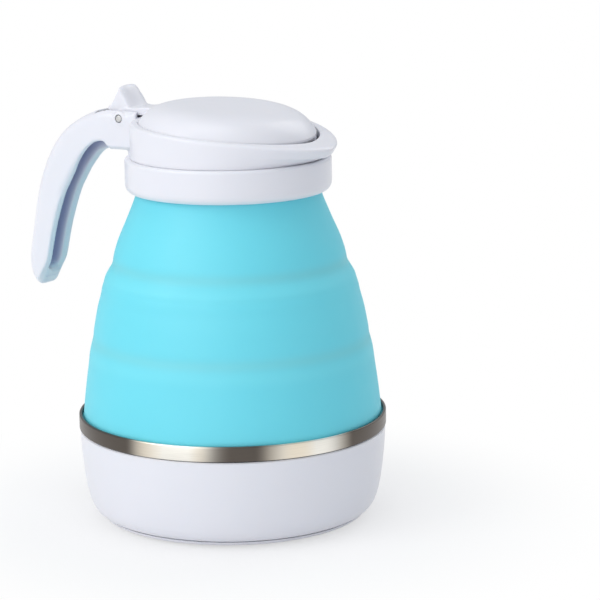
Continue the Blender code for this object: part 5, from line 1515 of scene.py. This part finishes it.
@dataclass
class Lid:
    """The domed lid with its liner, hinge arm, knuckle and thumb tab."""

    stack: Stack
    radius: float = 0.03485
    skirt: float = 0.0016
    wall: float = 0.0022
    rise: float = 0.0074
    power: float = 7.5
    skirt_low: float = 0.1541
    notch_half: float = 0.0120
    notch_rise: float = 0.0027
    notch_blend: float = 1.5 * MM
    steps: int = 40
    lining_share: float = 0.96
    liner_ring: Row = (0.011, 0.012)
    knuckle_radius: float = 0.0034
    bore_radius: float = 1.9 * MM
    half_width: float = 0.0066
    arm: Sequence[Row] = ((-0.0310, 0.5 * MM), (-0.0290, 3.0 * MM), (-0.0330, 3.9 * MM), (-0.0390, 3.3 * MM))
    arm_back: Row = (0.5 * MM, 3.1 * MM)
    tab: Sequence[Row] = ((-0.0402, 0.1604), (-0.0419, 0.1620), (-0.0434, 0.1643), (-0.0449, 0.1668), (-0.0463, 0.1688),
                          (-0.0477, 0.1698), (-0.0489, 0.1693), (-0.0499, 0.1673), (-0.0510, 0.1648), (-0.0525, 0.1627),
                          (-0.0545, 0.1613), (-0.0540, 0.1592), (-0.0505, 0.1572), (-0.0470, 0.1560))

    def dome(self, share: float) -> float:
        """Give the dome's height above the rim at a share of its radius."""
        return self.rise * (1 - share ** self.power)

    def notched(self, point: Vector) -> Vector:
        """Raise the skirt's lower edge at the spout, then follow the rim.

        Args:
            point: A point of the turned lid.

        Returns:
            Its new place.
        """
        if point.x > 0 and point.z < self.skirt_low + 2 * MM:
            share = eased(ramp(abs(point.y), self.notch_half + self.notch_blend, self.notch_half - self.notch_blend))
            top = self.skirt_low + self.notch_rise
            point.z += (top - self.skirt_low) * share * ramp(point.z, top + 1 * MM, self.skirt_low)
        return self.stack.follow_rim(point)

    def build(self) -> None:
        """Make the shell, the liner and the hinge."""
        rim, low = self.stack.rim, self.skirt_low
        shares = [math.sin(i / self.steps * math.pi / 2) for i in range(self.steps + 1)]
        outer = [(self.radius * share, rim + self.dome(share)) for share in shares]
        inner_radius = self.radius - self.skirt
        inner = [(inner_radius * share, rim + self.dome(share * self.lining_share) - self.wall)
                 for share in shares[:-6]]
        corners = [(self.radius, rim, 0), (self.radius, low, 0.4 * MM), (inner_radius, low, 0.4 * MM),
                   (inner_radius, inner[-1][1] - 1 * MM, 0)]
        skirt = split_long(filleted(corners, closed=False), 0.6 * MM, closed=False)
        shell = reshaped(revolved("lid_dome", outer[:-1] + skirt + list(reversed(inner))), self.notched)
        merged(face_out(shell), self.build_hinge())
        place(shell, Finish.WHITE, Body.LID, ("lid_shell",), angle=50)
        self.build_liner(inner_radius - 0.4 * MM)

    def build_liner(self, edge: float) -> None:
        """Make the liner that closes the lid from below, with a raised ring.

        Args:
            edge: The liner's radius.
        """
        low = self.skirt_low + 0.9 * MM
        high, floor = low + 1.6 * MM, low + 0.4 * MM
        within, beyond = self.liner_ring
        corners = [(0, high, 0), (edge, high, 0.3 * MM), (edge, low, 0.4 * MM), (edge - 3 * MM, low, 0.3 * MM),
                   (edge - 3.6 * MM, floor, 0.3 * MM), (beyond, floor, 0.4 * MM), (within, low, 0.4 * MM), (0, low, 0)]
        rows = split_long(filleted(corners, closed=False), 2 * MM, closed=False)
        liner = reshaped(revolved("lid_lining", rows), self.stack.follow_rim)
        place(face_out(liner), Finish.INNER_WHITE, Body.LID, ("lid_liner",), angle=35)

    def build_hinge(self) -> bpy.types.Object:
        """Make the arm, the knuckle and the thumb tab as one moulding that rises from the dome.

        Returns:
            The moulding.
        """
        stack, wide = self.stack, self.half_width
        outline = smooth_line([*self.tab, self.tab[0]], 64)[:-1]
        tab = pillow("lid_hinge", outline, wide - 0.3 * MM, reach=5.6 * MM, depth=1.7 * MM)
        low, high = [(stack.hinge[0], stack.rim + up) for up in self.arm_back]
        arm = [low, *((along, stack.rim + up) for along, up in self.arm), high]
        joined(tab, plate("arm", arm, wide), Join.ADD)
        joined(tab, stack.hinge_bar("knuckle", wide, self.knuckle_radius), Join.ADD)
        joined(tab, stack.hinge_bar("bore", wide + 1 * MM, self.bore_radius), Join.CUT)
        return moulded(tab, voxel=0.28 * MM, passes=7)


@dataclass
class Handle:
    """The grooved handle with its forked root, clip and hinge pin."""

    stack: Stack
    reach: float = 0.0582
    top: float = 0.1611
    drop: float = 0.0768
    root_half: float = 0.0097
    grip_half: float = 0.0077
    tip_half: float = 0.0069
    wall: float = 0.0024
    groove_half: float = 0.0050
    groove_shift: float = 0.0012
    # Tint of the painted shade and blue painted reflection in the groove, and the share of the reach from which it is
    # painted.
    groove_painted_shade: Colour = (0.66, 0.67, 0.86)
    groove_from: float = 0.26
    lip_half: float = 0.0054
    groove_start: float = 0.42
    tone_points: int = 160
    groove_end: Sequence[Row] = ((0.277, 0.262), (0.277, 0.200), (0.290, 0.184), (0.320, 0.181), (0.385, 0.181))
    near_notch: Sequence[Row] = ((0.234, 0.265), (0.234, 0.203), (0.248, 0.183), (0.286, 0.175), (0.342, 0.180),
                                 (0.388, 0.194), (0.440, 0.222), (0.487, 0.262), (0.526, 0.306), (0.555, 0.352),
                                 (0.596, 0.414), (0.642, 0.494), (0.660, 0.540), (0.634, 0.509), (0.586, 0.447),
                                 (0.536, 0.389), (0.445, 0.310), (0.356, 0.274))
    far_notch: Sequence[Row] = ((0.330, 0.185), (0.375, 0.184), (0.430, 0.203), (0.405, 0.272), (0.380, 0.290),
                                (0.360, 0.278))
    slot_half: float = 0.0072
    slot_ends: Row = (-0.0597, -0.0414)
    slot_floor: float = 0.1490
    gate_ends: Row = (-0.0444, -0.0324)
    gate_floor: float = 0.1578
    clip_back: float = -0.0445
    clip_half: float = 6 * MM
    boss_radius: float = 2.9 * MM
    bore_radius: float = 1.7 * MM
    sunk: float = 3 * MM
    headroom: float = 5 * MM
    clear_radius: float = 0.0410
    clear_low: float = 0.1250
    outer: Sequence[Row] = ((0.0, 0.0), (0.100, 0.0), (0.200, 0.0), (0.277, 0.004), (0.340, 0.014), (0.455, 0.047),
                            (0.558, 0.086), (0.651, 0.134), (0.729, 0.195), (0.790, 0.263), (0.845, 0.346),
                            (0.892, 0.440), (0.930, 0.552), (0.959, 0.663), (0.981, 0.751), (1.0, 0.835))
    tip: Sequence[Row] = ((0.995, 0.909), (0.968, 0.958), (0.932, 0.989), (0.902, 0.994), (0.877, 0.971))
    inner: Sequence[Row] = ((0.846, 0.926), (0.797, 0.862), (0.770, 0.783), (0.741, 0.694), (0.706, 0.609),
                            (0.672, 0.536), (0.634, 0.469), (0.586, 0.407), (0.536, 0.349), (0.445, 0.270),
                            (0.356, 0.234), (0.223, 0.224), (0.100, 0.2225), (0.0, 0.2225))
    pin_radius: float = 0.0014
    pin_half: float = 10.1 * MM

    def at(self, shares: Iterable[Row]) -> list[Row]:
        """Turn shares of reach and drop into (x, z) points."""
        return [(-self.stack.cap_radius - self.reach * out, self.top - self.drop * down) for out, down in shares]

    def half_width(self, x: float) -> float:
        """Give the handle's half width at a place along X.

        Args:
            x: The place.

        Returns:
            The half width.
        """
        out = (-x - self.stack.cap_radius) / self.reach
        width = self.root_half + (self.grip_half - self.root_half) * eased(ramp(out, 0.22, 0.50))
        return width + (self.tip_half - self.grip_half) * ramp(out, 0.50, 1.0)

    def shifted(self, points: Sequence[Row], distance: float) -> list[Row]:
        """Move an open line sideways, to its left.

        Args:
            points: The line's points.
            distance: How far the line moves.

        Returns:
            The moved line.
        """
        moved: list[Row] = []
        for i, (x, z) in enumerate(points):
            along = (Vector(points[min(i + 1, len(points) - 1)]) - Vector(points[max(i - 1, 0)])).normalized()
            moved.append((x - along.y * distance, z + along.x * distance))
        return moved

    def build(self) -> None:
        """Make the handle moulding and its pin."""
        outline = smooth_line(self.at([*self.outer, *self.tip, *self.inner]), 150)
        root_x = -self.stack.cap_radius + self.sunk
        outline += [(root_x, outline[-1][1]), (root_x, outline[0][1])]
        handle = pillow("grooved_handle", outline, self.root_half, reach=6.0 * MM, depth=3.6 * MM)
        self.cut_groove(handle)
        moulded(handle, voxel=0.50 * MM, passes=12)
        reshaped(handle, lambda p: Vector((p.x, p.y * self.half_width(p.x) / self.root_half, p.z)))
        self.add_root(handle)
        self.cut_root(handle)
        moulded(handle, voxel=0.46 * MM, passes=5)
        joined(handle, self.stack.hinge_bar("bore", 12 * MM, self.bore_radius), Join.CUT)
        # Paint shade and a blue reflection into the groove.
        self.paint_groove_shade(handle)
        place(handle, Finish.GRIP, Body.CAP, ("handle_shell",), angle=60)
        self.build_pin()

    def add_root(self, handle: bpy.types.Object) -> None:
        """Add the clip below the root and the bosses round the pin, and clear the cap and collar.

        Args:
            handle: The handle's moulding.
        """
        stack, top = self.stack, self.top + self.headroom
        floor = self.at(self.inner)[-1][1]
        clip = slab("clip", (self.clip_back, -self.clip_half, floor - 12 * MM),
                    (-stack.cap_radius + self.sunk, self.clip_half, floor + 3 * MM))
        joined(handle, rounded_edges(clip, 0.6 * MM, segments=2), Join.ADD)
        joined(handle, stack.hinge_bar("boss", self.root_half + 0.3 * MM, self.boss_radius), Join.ADD)
        cap = stack.cap_radius + stack.gap
        profile = [(0, top), (cap, top), (cap, stack.cap_step), (self.clear_radius, stack.cap_step),
                   (self.clear_radius, self.clear_low), (0, self.clear_low)]
        joined(handle, revolved("clearance", profile, segments=128), Join.CUT)

    def cut_groove(self, handle: bpy.types.Object) -> None:
        """Cut the finger groove, open towards the kettle.

        Args:
            handle: The handle's moulding.
        """
        outer = smooth_line(self.at(row for row in self.outer if row[0] > self.groove_start), 40)
        inner = smooth_line(self.at(row for row in self.inner if row[0] > self.groove_start), 40)
        outline = self.shifted(outer, self.wall) + self.shifted(inner, -4 * MM) + self.at(self.groove_end)
        groove = pillow("groove", outline, self.groove_half, reach=3.6 * MM, depth=1.6 * MM)
        joined(handle, reshaped(groove, lambda p: p - Vector((0, self.groove_shift, 0))), Join.CUT)
        edge = inner + self.at(self.groove_end[:1])
        lip = self.shifted(edge, 1.6 * MM) + self.shifted(edge, -4 * MM)[::-1]
        lip_cut = pillow("lip", lip, self.lip_half, reach=3.0 * MM, depth=2.2 * MM)
        joined(handle, reshaped(lip_cut, lambda p: p + Vector((0, 2.0 * MM, 0))), Join.CUT)
        for side, shares in ((-1, self.near_notch), (1, self.far_notch)):
            opening = plate("opening", self.at(shares), 6 * MM)
            reshaped(opening, lambda p, shift=side * 11.2 * MM: p + Vector((0, shift, 0)))
            joined(handle, opening, Join.CUT)

    def paint_groove_shade(self, handle: bpy.types.Object) -> None:
        """Paint shade into the groove, bluer as a painted reflection of the silicone, deeper towards the floor.

        Args:
            handle: The handle's moulding.
        """
        back, mouth = KDTree(self.tone_points), KDTree(self.tone_points)
        for tree, line in ((back, [*self.outer, *self.tip]), (mouth, self.inner)):
            for index, (x, z) in enumerate(smooth_line(self.at(line), self.tone_points)):
                tree.insert((x, 0, z), index)
            tree.balance()

        def rule(vertex: bpy.types.MeshVertex) -> Colour:
            """Give the painted shade from the depth in the groove.

            Args:
                vertex: A point of the handle.

            Returns:
                Its painted shade.
            """
            spot = vertex.co
            across = spot.y * self.root_half / self.half_width(spot.x) + self.groove_shift
            flat = Vector((spot.x, 0, spot.z))
            if (abs(across) > self.groove_half + 0.3 * MM or back.find(flat)[2] < 1.5 * MM
                    or spot.x > -self.stack.cap_radius - self.groove_from * self.reach):
                return (1.0, 1.0, 1.0)
            share = eased(ramp(mouth.find(flat)[2], 0.6 * MM, 5.0 * MM))
            return tuple(1 + (part - 1) * share for part in self.groove_painted_shade)

        tone(handle, rule)

    def cut_root(self, handle: bpy.types.Object) -> None:
        """Cut the slot that the thumb tab turns in and the gate for the lid's arm.

        Args:
            handle: The handle's moulding.
        """
        top, half = self.top + self.headroom, self.slot_half
        slot = slab("slot", (self.slot_ends[0], -half, self.slot_floor), (self.slot_ends[1], half, top))
        joined(handle, rounded_edges(slot, 0.8 * MM, segments=3), Join.CUT)
        gate = slab("gate", (self.gate_ends[0], -half, self.gate_floor), (self.gate_ends[1], half, top))
        joined(handle, gate, Join.CUT)

    def build_pin(self) -> None:
        """Make the hinge pin with softly rounded ends."""
        end = self.pin_half
        corners = [(0, -end, 0), (self.pin_radius, -end, 0.5 * MM), (self.pin_radius, end, 0.5 * MM), (0, end, 0)]
        pin = revolved("lid_pin", filleted(corners, closed=False), segments=40)
        x, z = self.stack.hinge
        pin.data.transform(Matrix.Translation((x, 0, z)) @ Matrix.Rotation(math.radians(-90), 4, "X"))
        place(face_out(pin), Finish.PLATED, Body.CAP, ("hinge_pin",), angle=50)


class HiddenParts:
    """Finishes for the CAD nodes that keep their own shape, most of them inside the base."""

    kinds: dict[Finish, tuple[str, ...]] = {
        Finish.STEEL: ("heating_element", "element_terminal_1", "element_terminal_2", "thermostat_bracket",
                       "bracket_screw_1", "bracket_screw_2", "handle_screw_1", "handle_screw_2"),
        Finish.ALUMINIUM: ("heat_spreader",),
        Finish.CERAMIC: ("thermostat", "thermal_fuse"),
        Finish.BRASS: ("switch_terminal_1", "switch_terminal_2", "switch_terminal_3"),
        Finish.BROWN_WIRE: ("wire_live", "wire_switched"),
        Finish.BLUE_WIRE: ("wire_neutral", "wire_return"),
        Finish.GREEN_WIRE: ("wire_earth",),
    }

    def build(self) -> None:
        """Dress each node."""
        for finish, names in self.kinds.items():
            for name in names:
                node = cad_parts[name]
                for slot in node.material_slots:
                    slot.material = SHELF.get(finish)
                LOG.info("%s: CAD shape, %s", name, finish.name)


# ---- Studio -----------------------------------------------------------------


def aimed(spot: Vector, at: Vector) -> Matrix:
    """Give the place and turn of a lamp or camera that looks from one spot at another."""
    return Matrix.Translation(spot) @ (at - spot).to_track_quat("-Z", "Y").to_matrix().to_4x4()


@dataclass(frozen=True)
class Lamp:
    """A soft round lamp: where it hangs, its width in metres, its power in watts and its colour."""

    name: str
    spot: Spot
    width: float
    power: float
    colour: Colour = (1.0, 1.0, 1.0)

    def build(self, at: Vector) -> None:
        """Hang the lamp and point it at a spot.

        Args:
            at: The spot.
        """
        light = bpy.data.lights.new(self.name, "AREA")
        light.shape = "DISK"
        light.size = self.width
        light.energy = self.power
        light.color = self.colour
        lamp = bpy.data.objects.new(self.name, light)
        bpy.context.scene.collection.objects.link(lamp)
        lamp.matrix_world = aimed(Vector(self.spot), at)


@dataclass
class Studio:
    """A pale floor, soft lamps and the camera at the photograph's angle."""

    bearing: float = math.radians(34)
    distance: float = 1.0
    eye_height: float = 0.2956
    aim_height: float = 0.085
    image: float = 600.0
    focal_pixels: float = 2575.0
    shift_right: float = 0.11557
    shift_up: float = 0.00593
    roll: float = 0.01843
    sensor: float = 36.0
    floor_size: float = 6.0
    floor_drop: float = 0.00005
    floor_colour: tuple[float, ...] = (0.84, 0.845, 0.86, 1)
    fade_ends: Row = (0.055, 0.16)
    fade_least: float = 0.58
    sky_colour: tuple[float, ...] = (0.93, 0.96, 1.0, 1)
    sky_strength: float = 0.64
    lamps: Sequence[Lamp] = (
        Lamp("key", (-0.9, -1.5, 1.3), 1.2, 11.5, (1.0, 0.99, 0.97)),
        Lamp("fill", (1.7, -0.6, 0.9), 1.4, 0.2, (0.96, 0.98, 1.0)),
        Lamp("front", (0.1, -1.5, 0.45), 1.5, 7.1),
        Lamp("top", (-0.1, -0.2, 1.8), 1.2, 5.0),
        Lamp("rim", (0.2, 1.6, 1.2), 1.2, 5.0),
    )

    def build(self) -> None:
        """Make the camera, floor, world and lamps."""
        bpy.context.scene.view_settings.view_transform = "Standard"
        self.build_camera()
        self.build_floor()
        self.build_world()
        for lamp in self.lamps:
            lamp.build(Vector((0, 0, self.aim_height)))

    def build_camera(self) -> None:
        """Place the camera where the photograph was taken from."""
        lens = bpy.data.cameras.new("camera")
        lens.sensor_width = self.sensor
        lens.lens = self.sensor * self.focal_pixels / self.image
        lens.clip_start = 10 * MM
        lens.shift_x, lens.shift_y = self.shift_right, self.shift_up
        camera = bpy.data.objects.new("camera", lens)
        bpy.context.scene.collection.objects.link(camera)
        eye = Vector((self.distance * math.sin(self.bearing), -self.distance * math.cos(self.bearing), self.eye_height))
        roll = Matrix.Rotation(-self.roll, 4, "Z")
        camera.matrix_world = aimed(eye, Vector((0, 0, self.aim_height))) @ roll
        bpy.context.scene.camera = camera

    def build_floor(self) -> None:
        """Make the floor: it takes the shadow near the kettle and is plain white further out."""
        half, low = self.floor_size / 2, -self.floor_drop
        mesh = bpy.data.meshes.new("floor")
        corners = [(-half, -half, low), (half, -half, low), (half, half, low), (-half, half, low)]
        mesh.from_pydata(corners, [], [(0, 1, 2, 3)])
        floor = linked("floor", mesh)
        material = bpy.data.materials.new("pale_floor")
        material.use_nodes = True
        material.node_tree.nodes.clear()
        sheet = NodeSheet(material.node_tree)
        spot = sheet.node("ShaderNodeTexCoord").outputs["Object"]
        away = sheet.node("ShaderNodeVectorMath", {0: spot}, operation="LENGTH").outputs["Value"]
        fade = sheet.ranged(away, self.fade_ends, least=self.fade_least, kind=SOFTLY)
        rays = sheet.node("ShaderNodeLightPath").outputs
        seen = sheet.math("MAXIMUM", rays["Is Camera Ray"], rays["Is Glossy Ray"])
        seen = sheet.math("MAXIMUM", seen, rays["Is Transmission Ray"])
        paper = sheet.node("ShaderNodeBsdfDiffuse", {"Color": self.floor_colour}).outputs["BSDF"]
        white = sheet.node("ShaderNodeEmission", {"Strength": 1.0}).outputs["Emission"]
        mixed = sheet.node("ShaderNodeMixShader", {0: sheet.math("MULTIPLY", fade, seen), 1: paper, 2: white})
        sheet.node("ShaderNodeOutputMaterial", {"Surface": mixed.outputs["Shader"]})
        mesh.materials.append(material)

    def build_world(self) -> None:
        """Make the world: white to the eye and through glass, softer as a light."""
        world = bpy.data.worlds.new("studio")
        bpy.context.scene.world = world
        world.use_nodes = True
        world.node_tree.nodes.clear()
        sheet = NodeSheet(world.node_tree)
        sky = sheet.node("ShaderNodeBackground", {"Color": self.sky_colour, "Strength": self.sky_strength})
        backdrop = sheet.node("ShaderNodeBackground", {"Color": (1, 1, 1, 1), "Strength": 1.0})
        rays = sheet.node("ShaderNodeLightPath").outputs
        seen = sheet.math("MAXIMUM", rays["Is Camera Ray"], rays["Is Transmission Ray"])
        mixed = sheet.node("ShaderNodeMixShader", {0: seen, 1: sky.outputs["Background"],
                                                   2: backdrop.outputs["Background"]})
        sheet.node("ShaderNodeOutputWorld", {"Surface": mixed.outputs["Shader"]})


def main() -> None:
    """Build every sub-assembly in order."""
    logging.basicConfig(level=logging.INFO, format="%(message)s")
    stack = Stack()
    Studio().build()
    FoldingWall(stack).build()
    BaseUnit(stack).build()
    SwitchUnit().build()
    MainsInlet().build()
    NeckAndCap(stack).build()
    Lid(stack).build()
    Handle(stack).build()
    HiddenParts().build()


if __name__ == "__main__":
    main()
